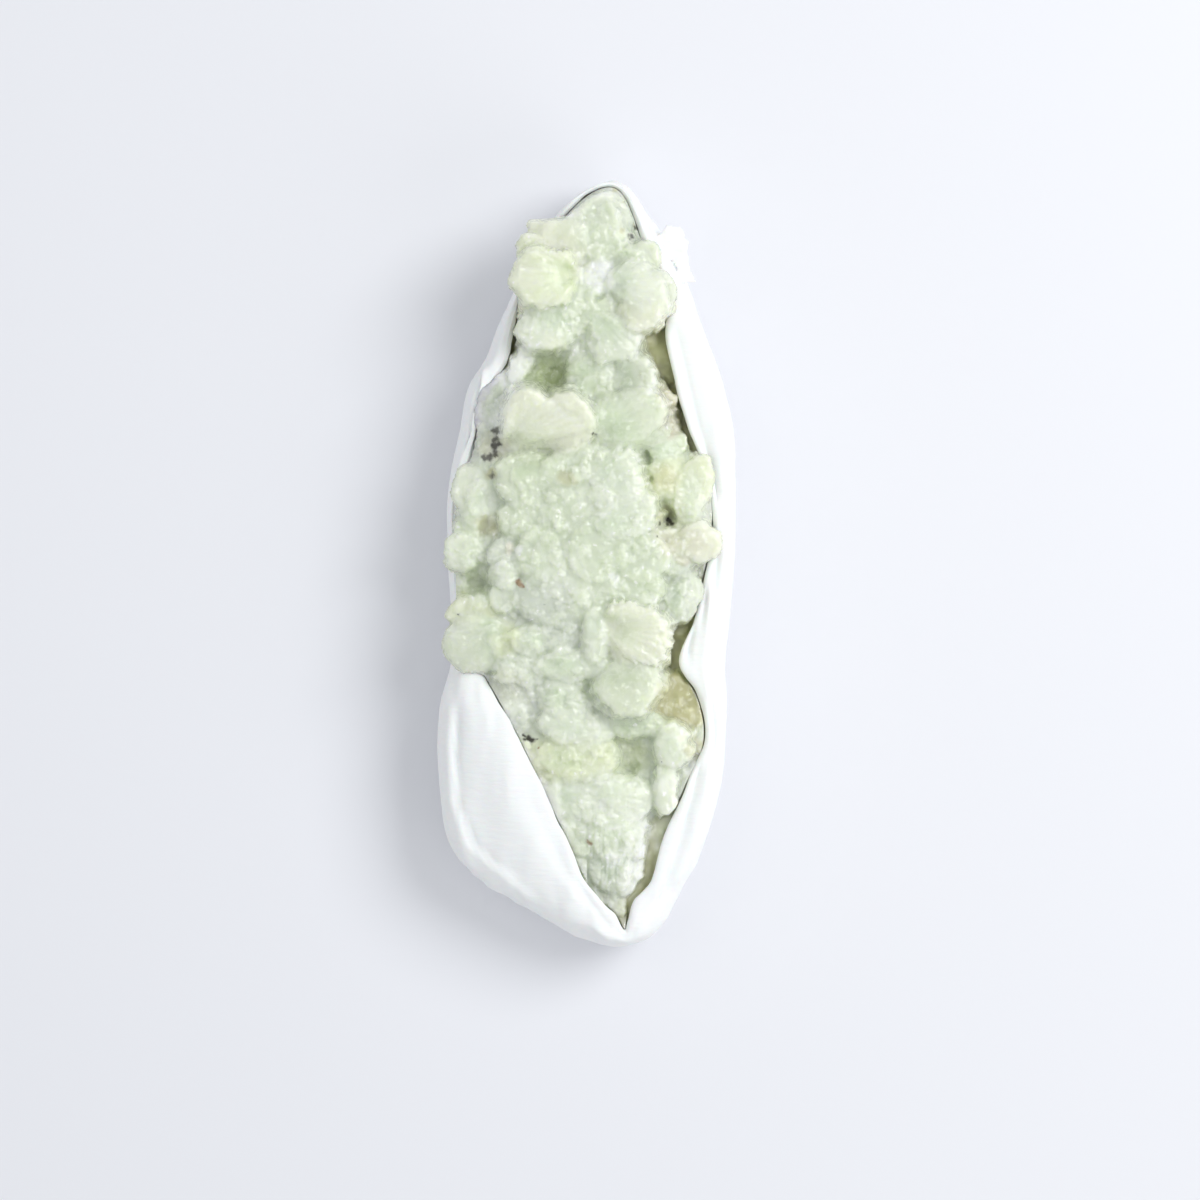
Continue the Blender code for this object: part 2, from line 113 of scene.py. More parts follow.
# Each row is a place round the tissue, clockwise from the upper tip:
# outer edge x, y, then rim x, y and height, where the sheet ends over the stone.
OUTLINE = (
    (3.5, 60.0, 3.5, 58.9, 14.5),
    (6.6, 58.9, 5.7, 57.7, 14.5),
    (9.1, 55.3, 7.2, 54.7, 14.5),
    (11.6, 52.0, 8.6, 50.6, 14.5),
    (13.8, 48.0, 10.8, 46.3, 14.8),
    (16.2, 42.8, 12.8, 41.8, 15.0),
    (17.5, 39.2, 12.5, 38.0, 15.2),
    (19.2, 34.6, 12.5, 34.6, 15.5),
    (21.5, 28.0, 14.0, 28.0, 16.0),
    (23.0, 21.2, 15.9, 21.2, 16.0),
    (23.4, 14.0, 18.7, 14.2, 15.5),
    (23.3, 6.0, 19.7, 6.3, 15.0),
    (22.9, -2.0, 18.3, -1.8, 15.5),
    (22.4, -8.5, 16.5, -8.8, 16.0),
    (21.7, -15.6, 14.4, -15.4, 16.0),
    (21.9, -21.2, 17.4, -21.0, 15.5),
    (21.7, -28.0, 18.3, -27.6, 15.5),
    (21.0, -34.6, 15.5, -34.4, 16.0),
    (18.8, -42.8, 12.0, -42.6, 16.0),
    (15.9, -49.0, 9.9, -49.2, 15.5),
    (13.0, -54.4, 7.2, -52.6, 15.0),
    (10.0, -58.4, 6.3, -55.6, 14.5),
    (5.7, -60.0, 5.9, -57.0, 14.0),
    (0.3, -58.8, 4.5, -54.7, 15.5),
    (-4.7, -56.7, 2.1, -52.2, 17.0),
    (-10.5, -53.2, -0.5, -48.6, 18.0),
    (-16.6, -49.4, -2.8, -43.4, 18.6),
    (-21.2, -43.8, -4.8, -39.2, 18.8),
    (-22.6, -36.6, -7.2, -34.0, 18.8),
    (-23.2, -28.4, -9.9, -28.4, 18.6),
    (-22.8, -21.6, -13.4, -21.8, 17.6),
    (-21.4, -16.2, -16.4, -16.6, 15.4),
    (-21.0, -11.4, -18.8, -11.6, 13.4),
    (-21.3, -5.0, -19.4, -5.0, 13.0),
    (-21.7, 2.0, -19.7, 2.0, 13.2),
    (-21.9, 8.6, -19.8, 8.4, 14.0),
    (-21.2, 14.6, -18.4, 14.2, 14.8),
    (-19.8, 20.6, -17.0, 20.2, 15.0),
    (-18.6, 27.2, -15.4, 26.8, 15.0),
    (-15.8, 32.0, -12.4, 31.4, 15.2),
    (-14.3, 36.0, -11.5, 35.6, 15.0),
    (-12.0, 41.0, -10.4, 40.4, 14.4),
    (-9.6, 46.2, -8.4, 45.6, 14.0),
    (-7.0, 51.2, -5.9, 50.6, 14.0),
    (-4.1, 55.4, -3.1, 54.6, 14.2),
    (-0.5, 58.7, 0.3, 57.7, 14.5),
)

# Folds of the tissue seen from above: kind, width, amount, then the line's points.
FOLDS = (
    ("valley", 0.9, 0.32, ((-9.4, -35.0), (-6.6, -41.0), (-3.0, -48.0), (1.0, -53.2), (4.4, -57.6))),
    ("ridge", 1.0, 0.35, ((-20.9, -19.5), (-21.4, -28.0), (-20.9, -37.0), (-18.6, -43.5), (-7.0, -53.6))),
    ("valley", 0.7, 0.40, ((-20.0, -21.0), (-20.3, -30.0), (-19.8, -38.0), (-17.4, -44.0), (-12.0, -48.4))),
    ("valley", 0.8, 0.55, ((17.9, -30.0), (16.4, -37.0), (14.6, -44.0), (12.6, -50.4), (10.0, -55.6))),
    ("ridge", 0.8, 0.35, ((19.4, -29.0), (18.0, -37.5), (15.8, -45.0), (13.6, -51.5))),
    ("valley", 0.6, 0.40, ((18.9, -2.0), (18.4, -6.6), (17.6, -11.0))),
    ("valley", 0.7, 0.45, ((16.3, -8.0), (15.9, -13.0), (16.2, -17.5))),
    ("ridge", 0.8, 0.35, ((19.6, -2.0), (18.9, -9.0), (18.2, -16.0), (19.3, -24.0))),
    ("valley", 0.9, 0.40, ((20.6, 4.0), (20.3, -6.0), (19.8, -16.0), (20.4, -26.0), (19.9, -34.0))),
    ("valley", 1.0, 0.55, ((13.6, 38.0), (15.2, 31.0), (17.4, 22.0), (19.4, 15.0), (20.6, 8.0))),
    ("ridge", 0.9, 0.35, ((15.2, 39.5), (17.2, 32.0), (19.6, 23.0), (21.6, 14.0))),
    ("valley", 0.7, 0.35, ((8.0, 55.8), (10.2, 52.0), (12.4, 47.4), (14.4, 43.0))),
    ("step", 1.4, 0.50, ((-15.6, 32.4), (-16.5, 28.0), (-17.5, 24.0), (-18.2, 20.0), (-19.6, 16.6))),
    ("valley", 0.5, 0.25, ((-20.4, 12.0), (-20.9, 6.0), (-20.8, 0.0), (-20.5, -6.0))),
    ("valley", 0.6, 0.35, ((3.4, -55.6), (5.0, -57.2), (6.4, -59.2))),
    ("valley", 0.6, 0.35, ((8.2, -55.6), (7.4, -57.4), (6.9, -59.4))),
    ("valley", 0.6, 0.30, ((9.8, -55.8), (8.6, -57.6), (7.6, -59.0))),
    ("ridge", 0.7, 0.25, ((-0.4, -55.6), (3.0, -57.8), (5.6, -59.0))),
)

# The torn scrap of tissue that stands out at the upper right: corner x, y.
SCRAP = (
    (10.6, 50.6),
    (12.8, 53.0),
    (14.7, 52.9),
    (15.8, 50.6),
    (16.0, 47.0),
    (16.9, 44.0),
    (14.0, 43.6),
)
SCRAP_HEIGHT = 13.2

# Tints of the stone, linear red, green and blue.
TINTS = {
    "green": (0.68, 0.745, 0.58),
    # Deep green: a darker tint of the stone, and painted shade where it is laid in hollows.
    "deep": (0.50, 0.57, 0.38),
    "pale": (0.72, 0.775, 0.64),
    "cream": (0.77, 0.795, 0.64),
    "yellow": (0.73, 0.78, 0.56),
    "bright": (0.84, 0.88, 0.76),
    "grey": (0.64, 0.69, 0.58),
    "white": (0.86, 0.89, 0.83),
    # Olive: the smooth yellower face's own tint, and painted shade where it is laid in hollows.
    "olive": (0.56, 0.55, 0.32),
    "brown": (0.66, 0.64, 0.50),
    # Painted shade: the olive of the shaded gaps beside the tissue.
    "gap_shade": (0.66, 0.67, 0.42),
    "black": (0.035, 0.032, 0.020),
    "rust": (0.30, 0.16, 0.06),
}

# Where fans stand: x, y, reach, half width, heading in degrees, top height, rise, tint.
FANS = (
    (-8.8, 22.4, 4.6, 4.6, 92, 23.0, 2.6, "cream"),
    (-3.2, 21.6, 4.6, 4.4, 52, 23.4, 2.4, "cream"),
    (6.4, 22.6, 6.4, 4.4, 18, 21.6, 1.2, "green"),
    (7.6, 29.2, 3.4, 3.9, 5, 20.4, 1.2, "grey"),
    (4.4, 13.0, 4.8, 4.8, 12, 22.2, 0.8, "pale"),
    (6.2, 7.6, 5.2, 3.6, 22, 22.0, 1.0, "pale"),
    (7.9, -11.0, 5.6, 4.9, -8, 22.8, 1.2, "cream"),
    (6.4, -19.4, 4.4, 5.7, -78, 23.5, 1.2, "green"),
    (-17.8, -12.4, 4.6, 4.6, 222, 18.8, -0.6, "pale"),
    (-17.6, -7.2, 4.2, 2.3, 190, 18.4, -0.4, "yellow"),
    (-6.6, 36.4, 3.6, 4.6, 266, 20.8, 0.6, "pale"),
    (4.2, 34.9, 3.7, 4.4, -62, 20.8, 0.8, "pale"),
    (9.0, 40.2, 3.6, 4.6, -42, 22.0, 0.8, "cream"),
    (-7.2, 44.2, 4.6, 4.8, 186, 23.2, 0.6, "yellow"),
    (16.6, 11.6, 5.6, 2.7, 68, 18.6, 0.8, "yellow"),
)

# Rounded lumps and blocks: x, y, half length, half width, heading in degrees, top height, rise, tint.
# The two low deep green lumps lie in the hollow under the upper fans; their tint is painted shade.
LUMPS = (
    (1.6, 54.4, 4.4, 5.0, 90, 17.2, -1.6, "grey"),
    (-4.2, 51.4, 4.5, 3.2, 140, 19.4, -0.8, "cream"),
    (1.8, 51.0, 3.2, 4.2, 270, 19.2, 0.8, "green"),
    (-8.4, 48.4, 2.6, 2.4, 130, 20.4, 0.0, "yellow"),
    (2.3, 44.8, 2.6, 2.4, 90, 19.0, 0.0, "white"),
    (8.2, 47.4, 3.1, 2.3, 20, 19.4, 0.4, "green"),
    (7.2, 43.8, 3.7, 2.8, 10, 20.8, 0.0, "grey"),
    (11.0, 42.4, 2.7, 2.9, -20, 21.0, 0.0, "grey"),
    (-0.6, 39.8, 3.8, 2.9, 200, 20.2, 0.0, "green"),
    (-10.4, 31.2, 3.0, 1.4, 62, 17.6, 0.0, "white"),
    (-8.6, 28.4, 1.9, 1.8, 0, 16.6, 0.0, "deep"),
    (-5.6, 28.4, 1.5, 1.5, 0, 15.2, 0.0, "deep"),
    (0.4, 30.4, 4.0, 3.2, 80, 18.8, 0.0, "pale"),
    (2.6, 27.2, 2.6, 2.0, 150, 19.4, 0.0, "green"),
    (12.5, 25.8, 1.5, 1.4, 0, 17.2, 0.0, "brown"),
    (13.3, 22.0, 1.3, 2.3, -8, 16.4, 0.0, "brown"),
    (-14.6, 25.0, 4.2, 2.3, 72, 16.6, 0.0, "white"),
    (-15.4, 19.4, 2.6, 1.9, 80, 16.2, 0.0, "grey"),
    (12.4, 18.0, 2.9, 1.7, 30, 17.4, 0.0, "green"),
    (12.2, 13.2, 2.9, 2.6, 70, 18.4, 0.0, "yellow"),
    (-9.2, 13.0, 4.6, 3.9, 170, 21.2, 0.0, "green"),
    (-2.0, 15.2, 4.4, 2.6, 15, 21.8, 0.0, "green"),
    (-1.2, 9.4, 4.8, 4.2, 30, 21.8, 0.0, "green"),
    (-8.6, 6.6, 4.6, 3.2, 0, 20.8, 0.0, "green"),
    (17.6, 3.4, 2.9, 2.7, 10, 20.2, 0.0, "cream"),
    (12.8, 3.6, 2.5, 2.4, 0, 19.4, 0.0, "cream"),
    (14.2, 0.4, 2.9, 1.7, 10, 19.0, 0.0, "pale"),
    (-17.4, 10.2, 4.4, 2.9, 112, 17.8, 0.0, "pale"),
    (-19.0, 1.6, 3.0, 2.7, 150, 18.4, 0.0, "pale"),
    (-18.2, 5.4, 2.2, 1.9, 0, 17.2, 0.0, "green"),
    (-13.0, 1.6, 2.2, 2.1, 90, 20.2, 0.0, "grey"),
    (-12.8, -1.8, 2.0, 2.0, 0, 20.6, 0.0, "pale"),
    (-12.8, -5.2, 2.1, 2.0, 60, 20.0, 0.0, "pale"),
    (-16.2, -5.2, 1.5, 1.3, 30, 17.4, 0.0, "green"),
    (-5.4, 1.4, 5.0, 4.2, 20, 21.6, 0.0, "green"),
    (2.0, 2.4, 5.0, 4.0, 60, 22.2, 0.0, "green"),
    (8.4, 1.0, 3.9, 3.4, 0, 21.4, 0.0, "green"),
    (-6.0, -5.0, 4.8, 3.6, 10, 21.0, 0.0, "grey"),
    (0.6, -4.6, 4.4, 3.6, 90, 21.4, 0.0, "green"),
    (7.4, -4.0, 4.2, 2.9, 0, 21.2, 0.0, "green"),
    (15.2, -5.0, 2.5, 3.6, -12, 18.4, 0.0, "grey"),
    (-12.6, -12.4, 2.4, 2.1, 20, 19.2, 0.0, "yellow"),
    (-9.0, -11.8, 2.5, 2.0, 200, 20.2, 0.4, "pale"),
    (-4.4, -10.6, 3.0, 2.6, 90, 20.6, 0.0, "grey"),
    (1.2, -11.0, 3.7, 1.8, 92, 21.8, 0.0, "pale"),
    (-2.4, -15.8, 5.2, 2.2, 0, 20.6, 0.0, "pale"),
    (-10.4, -16.2, 3.7, 2.4, -8, 19.4, 0.0, "pale"),
    (-9.8, -21.4, 3.4, 3.0, 300, 17.4, 0.0, "grey"),
    (-3.8, -20.8, 3.3, 2.8, 0, 19.8, 0.0, "pale"),
    (-2.6, -25.2, 4.2, 2.5, -8, 20.2, 0.0, "pale"),
    (2.8, -24.6, 2.7, 2.4, 30, 19.6, 0.0, "pale"),
    (-1.4, -30.0, 5.8, 3.4, 5, 19.6, 0.0, "yellow"),
    (8.0, -24.8, 3.5, 2.0, 0, 19.0, 0.0, "green"),
    (13.6, -28.2, 3.1, 2.8, 80, 20.0, 0.0, "pale"),
    (12.2, -34.8, 3.8, 1.7, 268, 19.2, 0.0, "pale"),
    (-3.9, -36.2, 2.4, 2.3, 0, 18.2, 0.0, "pale"),
    (1.4, -37.0, 3.3, 3.2, 90, 18.8, 0.0, "pale"),
    (6.6, -36.4, 3.4, 3.3, 0, 18.8, 0.0, "pale"),
    (-0.4, -42.0, 3.2, 3.2, 30, 17.6, 0.0, "green"),
    (4.0, -42.0, 3.8, 3.0, 90, 18.2, 0.0, "green"),
    (7.6, -41.6, 4.0, 2.0, 95, 17.4, 0.0, "white"),
    (3.6, -47.4, 3.6, 3.0, 120, 16.8, 0.0, "grey"),
    (6.6, -47.0, 4.2, 1.9, 80, 16.2, 0.0, "white"),
    (4.6, -51.8, 3.0, 1.7, 100, 15.0, 0.0, "grey"),
)

# Blades of crystal that open out from a root to a frilled edge:
# root x, y, height; height of the edge; width of one blade; depth of the frill; tint; then the edge's points.
CRYSTAL_FANS = (
    (-13.2, 17.6, 20.4, 24.1, 1.7, 1.3, "cream", (
        (1.0, 18.4), (0.9, 20.3), (0.1, 21.9), (-1.9, 23.2), (-4.4, 24.6), (-6.8, 25.6),
        (-9.0, 26.1), (-11.0, 25.6), (-12.6, 24.2), (-13.6, 22.0))),
    (1.0, 20.2, 20.6, 22.0, 1.7, 0.35, "green", (
        (4.6, 18.0), (9.0, 17.9), (12.6, 18.9), (13.3, 21.4), (11.7, 24.3), (8.4, 25.3), (4.0, 26.8), (0.5, 25.6))),
    (4.4, 28.8, 18.4, 20.6, 0.9, 0.45, "grey", (
        (6.0, 25.4), (9.6, 24.9), (10.9, 27.6), (10.9, 30.4), (9.8, 32.9), (7.4, 33.1), (4.8, 32.3))),
    (-2.6, 28.6, 18.0, 19.2, 1.4, 0.5, "green", (
        (-0.6, 25.6), (2.6, 25.8), (4.6, 28.0), (4.2, 31.6), (1.4, 33.2), (-2.2, 32.2), (-3.6, 30.4))),
    (-1.2, 45.0, 21.2, 23.2, 2.0, 0.9, "yellow", (
        (-1.4, 48.6), (-5.0, 48.9), (-9.4, 48.1), (-11.5, 45.4), (-11.1, 42.6), (-8.6, 40.0), (-4.6, 39.5),
        (-1.0, 41.2))),
    (3.0, 43.4, 20.2, 21.8, 2.0, 0.5, "pale", (
        (4.8, 47.4), (9.4, 47.6), (12.4, 44.4), (13.9, 41.2), (13.4, 38.6), (9.8, 38.2), (5.2, 40.0))),
    (5.8, 41.2, 20.6, 21.4, 1.8, 0.5, "cream", (
        (13.2, 39.8), (12.2, 37.0), (9.8, 35.7), (7.8, 35.3), (6.0, 37.4), (4.2, 39.2))),
    (5.2, 47.6, 18.6, 19.9, 1.6, 0.3, "green", (
        (5.6, 49.5), (7.6, 50.0), (9.8, 49.6), (11.1, 48.0), (10.8, 46.4), (8.0, 45.8))),
    (-5.4, 40.4, 20.8, 19.8, 1.4, 1.3, "pale", (
        (-10.6, 39.6), (-11.1, 36.6), (-10.4, 35.3), (-8.0, 34.3), (-6.0, 33.1), (-4.6, 33.0), (-2.4, 33.5),
        (-0.2, 35.8), (-0.6, 39.4))),
    (0.8, 39.8, 20.4, 20.9, 1.6, 0.4, "pale", (
        (-0.2, 36.2), (1.4, 33.1), (3.8, 31.7), (7.4, 31.8), (8.4, 34.6), (7.8, 36.8), (5.0, 38.8))),
    (2.0, 58.0, 15.4, 19.8, 1.3, 0.35, "green", (
        (-2.4, 55.8), (-2.4, 51.6), (-1.4, 48.1), (1.8, 47.7), (4.6, 49.2), (5.8, 52.8), (6.0, 55.6))),
    (-1.6, 55.8, 17.4, 20.2, 2.6, 0.3, "cream", (
        (-1.6, 50.0), (-3.6, 48.4), (-7.9, 49.2), (-8.2, 52.4), (-6.3, 53.9), (-4.0, 55.4))),
    (0.2, 12.6, 21.2, 22.6, 1.1, 1.1, "pale", (
        (3.2, 17.8), (6.2, 18.6), (8.4, 16.9), (9.2, 14.0), (9.8, 11.2), (7.2, 10.0), (3.2, 9.6))),
    (-0.4, 6.4, 21.2, 22.5, 1.1, 1.2, "pale", (
        (4.4, 10.6), (8.2, 11.0), (10.8, 8.8), (11.8, 6.8), (10.4, 5.0), (6.8, 3.8), (3.2, 3.4))),
    (-11.6, 15.9, 20.0, 21.8, 1.9, 0.4, "green", (
        (-3.0, 17.2), (-1.6, 15.4), (-3.2, 13.0), (-5.4, 11.8), (-9.6, 10.8), (-12.8, 12.6))),
    (14.2, 9.6, 17.2, 19.0, 0.9, 0.6, "pale", (
        (13.8, 14.6), (14.4, 16.9), (17.0, 17.8), (18.8, 15.2), (19.4, 11.0), (19.6, 7.0), (17.2, 5.6),
        (15.0, 6.4))),
    (12.8, 2.8, 18.6, 20.2, 1.5, 0.5, "brown", (
        (14.0, 5.8), (17.0, 6.2), (20.2, 4.6), (20.8, 2.2), (18.9, 0.2), (16.0, -0.6), (13.2, 0.0))),
    (-16.4, 9.4, 18.4, 17.4, 1.6, 0.5, "pale", (
        (-14.2, 12.8), (-18.2, 12.8), (-20.4, 9.0), (-21.0, 5.4), (-17.4, 4.4))),
    (-17.2, 0.8, 18.8, 18.0, 1.2, 0.5, "pale", (
        (-16.2, 3.6), (-20.4, 3.8), (-22.3, 1.2), (-22.3, -0.8), (-19.4, -1.6), (-16.6, -0.8))),
    (-12.2, -9.4, 18.8, 18.0, 1.0, 1.0, "pale", (
        (-13.8, -15.6), (-15.6, -16.4), (-18.0, -17.4), (-20.3, -14.6), (-20.8, -11.8), (-22.0, -8.6),
        (-19.2, -6.8), (-14.0, -8.2))),
    (2.4, -9.4, 21.2, 23.4, 1.3, 1.2, "cream", (
        (2.6, -6.0), (6.4, -5.2), (10.8, -6.9), (12.7, -9.2), (13.5, -12.0), (12.5, -14.6), (10.6, -16.1),
        (7.4, -15.5), (4.0, -14.8))),
    (-7.8, -19.0, 18.6, 20.0, 1.4, 0.5, "pale", (
        (-3.2, -18.2), (0.2, -20.4), (0.9, -23.2), (-2.2, -24.2), (-6.8, -23.2))),
    (-7.0, -24.8, 18.6, 20.4, 1.5, 0.4, "pale", (
        (-0.4, -22.4), (2.8, -24.8), (3.8, -27.4), (0.6, -28.3), (-4.2, -27.8))),
    (-8.2, -29.6, 18.4, 19.8, 1.7, 0.4, "yellow", (
        (-3.0, -27.6), (2.4, -27.8), (4.6, -30.6), (2.2, -32.9), (-2.4, -33.5), (-6.4, -32.6))),
    (10.4, -27.8, 18.6, 20.6, 1.7, 0.5, "pale", (
        (10.6, -30.4), (13.6, -31.6), (16.4, -30.0), (17.0, -27.4), (15.0, -25.5), (11.8, -25.4))),
    (3.6, -24.8, 18.2, 19.4, 1.0, 0.5, "green", (
        (4.2, -27.0), (8.0, -27.0), (11.6, -26.4), (12.3, -23.8), (8.6, -22.6), (4.6, -22.8))),
    (-5.4, -35.8, 17.6, 18.8, 1.2, 0.6, "pale", (
        (-2.4, -33.6), (0.6, -34.0), (1.6, -37.2), (-1.0, -39.8), (-3.8, -39.0))),
    (0.2, -35.2, 18.2, 19.6, 1.4, 0.5, "pale", (
        (1.0, -32.6), (4.4, -32.4), (8.8, -33.2), (10.0, -36.0), (8.6, -38.6), (3.8, -39.6))),
    (2.6, -38.2, 18.4, 17.6, 1.1, 0.7, "pale", (
        (9.4, -38.8), (9.8, -41.6), (8.8, -45.2), (4.4, -46.2), (0.2, -45.0), (-1.8, -41.4))),
    (3.4, -44.6, 17.2, 15.0, 0.7, 0.7, "grey", (
        (8.8, -44.8), (8.4, -48.2), (6.4, -52.4), (4.6, -54.6), (2.4, -51.6), (-0.2, -48.0), (-0.2, -46.0))),
    (11.8, -30.6, 18.8, 19.0, 1.0, 0.4, "pale", (
        (10.4, -34.0), (10.5, -37.6), (11.8, -38.7), (13.4, -37.0), (14.0, -33.8), (13.4, -31.2))),
    (1.2, -7.4, 21.6, 22.2, 0.8, 0.3, "pale", (
        (-0.9, -9.0), (-0.9, -14.2), (1.2, -14.9), (3.3, -14.6), (3.5, -9.2))),
    (-8.0, -15.4, 19.8, 21.2, 0.9, 0.4, "pale", (
        (-4.0, -13.4), (2.6, -14.4), (3.5, -17.2), (-2.0, -18.0), (-6.4, -17.8))),
    (-6.2, -11.6, 19.8, 20.8, 1.2, 0.3, "pale", (
        (-7.6, -10.2), (-10.2, -10.6), (-11.2, -12.6), (-9.8, -14.0), (-7.2, -13.8))),
    (-9.8, -10.6, 20.0, 20.6, 1.2, 0.2, "yellow", (
        (-11.4, -9.8), (-13.8, -11.2), (-13.0, -12.1), (-11.0, -11.7))),
    (12.0, -5.4, 17.6, 18.8, 0.8, 0.3, "grey", (
        (13.4, -8.4), (15.6, -8.8), (17.2, -6.6), (18.0, -3.0), (16.4, -1.4), (13.4, -2.2))),
    (10.4, 12.6, 17.8, 18.8, 2.4, 0.3, "yellow", (
        (10.6, 15.2), (13.0, 16.0), (14.6, 13.6), (14.0, 10.6), (11.0, 9.8))),
    (9.6, 17.6, 16.6, 17.8, 1.5, 0.4, "green", (
        (11.4, 19.6), (14.4, 19.8), (16.0, 18.0), (13.6, 16.0), (10.6, 15.6))),
    (-13.2, 26.2, 16.6, 17.0, 1.4, 0.4, "grey", (
        (-13.6, 21.2), (-16.2, 21.4), (-17.4, 23.4), (-15.8, 26.8), (-13.6, 29.4), (-12.0, 29.6))),
)

# The massive base of the stone, along its length: y, left x, right x, top height.
BASE = (
    (59.4, -1.0, 4.6, 14.6),
    (57.4, -3.0, 6.0, 15.8),
    (54.0, -5.0, 7.2, 16.6),
    (49.0, -8.0, 8.6, 17.2),
    (44.0, -10.0, 11.4, 18.6),
    (39.5, -10.0, 12.0, 18.4),
    (36.0, -9.4, 8.4, 17.8),
    (32.0, -12.4, 9.4, 15.2),
    (28.0, -15.4, 11.8, 15.0),
    (24.0, -16.6, 13.6, 17.0),
    (19.0, -17.2, 14.4, 18.0),
    (14.0, -18.4, 17.2, 18.4),
    (9.0, -19.2, 18.2, 17.6),
    (4.0, -19.6, 18.2, 17.8),
    (-1.0, -19.4, 16.4, 17.8),
    (-6.0, -19.4, 15.4, 17.8),
    (-11.0, -19.2, 12.4, 18.2),
    (-16.0, -17.4, 12.2, 17.8),
    (-21.0, -17.0, 16.4, 16.4),
    (-26.0, -17.0, 16.8, 15.8),
    (-31.0, -16.4, 15.0, 15.6),
    (-36.0, -14.6, 12.8, 15.8),
    (-41.0, -12.0, 10.2, 15.6),
    (-46.0, -8.0, 8.2, 14.8),
    (-51.0, -2.6, 6.6, 13.0),
    (-54.6, 2.4, 5.2, 11.6),
)

# Height of the stone's low skirt beside the tissue: y, height on the left, height on the right.
SHELF = (
    (59.6, 15.2, 15.0),
    (50.0, 15.2, 14.4),
    (42.0, 14.4, 14.2),
    (37.0, 12.4, 12.0),
    (30.0, 12.6, 11.8),
    (22.0, 14.2, 12.2),
    (15.0, 14.8, 14.6),
    (6.0, 15.4, 15.6),
    (0.0, 15.6, 15.6),
    (-5.0, 15.4, 13.0),
    (-10.0, 15.2, 12.0),
    (-15.5, 15.2, 12.4),
    (-19.0, 16.4, 14.6),
    (-26.0, 18.0, 15.4),
    (-34.0, 18.2, 15.2),
    (-42.0, 18.2, 13.6),
    (-50.0, 17.4, 13.2),
    (-58.0, 14.4, 13.4),
)

# Flat smooth face of yellower prehnite at the lower right: corner x, y, height.
WEDGE = (
    (14.0, -16.2, 14.6),
    (18.2, -22.4, 14.0),
    (18.0, -25.4, 13.4),
    (9.2, -22.6, 16.0),
)
WEDGE_DEPTH = 6.0

# Hollows sunk into the stone: x, y, radius, how deep.
HOLLOWS = (
    (-6.4, 29.6, 3.4, 1.0),
    (-11.6, 33.4, 1.4, 4.0),
    (11.0, 33.0, 2.4, 4.0),
    (12.8, 29.4, 1.8, 4.0),
    (15.0, 22.6, 1.4, 3.0),
    (9.2, 16.6, 1.3, 2.2),
    (9.6, 13.2, 0.8, 2.2),
    (12.3, 7.2, 1.9, 4.0),
    (11.6, 9.4, 1.2, 2.0),
    (-15.2, 6.0, 1.5, 1.0),
    (-17.2, -2.2, 2.3, 1.8),
    (12.4, -5.6, 0.8, 2.4),
    (12.6, -7.2, 1.0, 3.0),
    (14.4, -11.6, 2.3, 5.0),
    (13.0, -15.4, 1.6, 4.0),
    (-14.8, -17.4, 1.2, 3.0),
    (0.2, -19.4, 0.9, 1.6),
    (0.8, -20.9, 1.0, 2.2),
    (1.9, -22.2, 1.0, 2.2),
    (3.2, -23.2, 0.9, 1.8),
    (4.8, -23.9, 0.8, 1.2),
    (6.2, -29.4, 2.6, 1.6),
    (7.0, -32.0, 1.3, 3.0),
    (17.0, -28.0, 1.3, 2.0),
    (15.6, -33.6, 1.6, 3.0),
    (-8.8, -27.2, 1.2, 2.0),
    (-7.0, -32.4, 1.0, 2.4),
    (10.6, -43.0, 1.6, 4.0),
    (2.2, 41.6, 0.7, 3.0),
    (7.4, 51.0, 0.8, 3.0),
    (-2.6, 47.6, 0.7, 1.0),
)
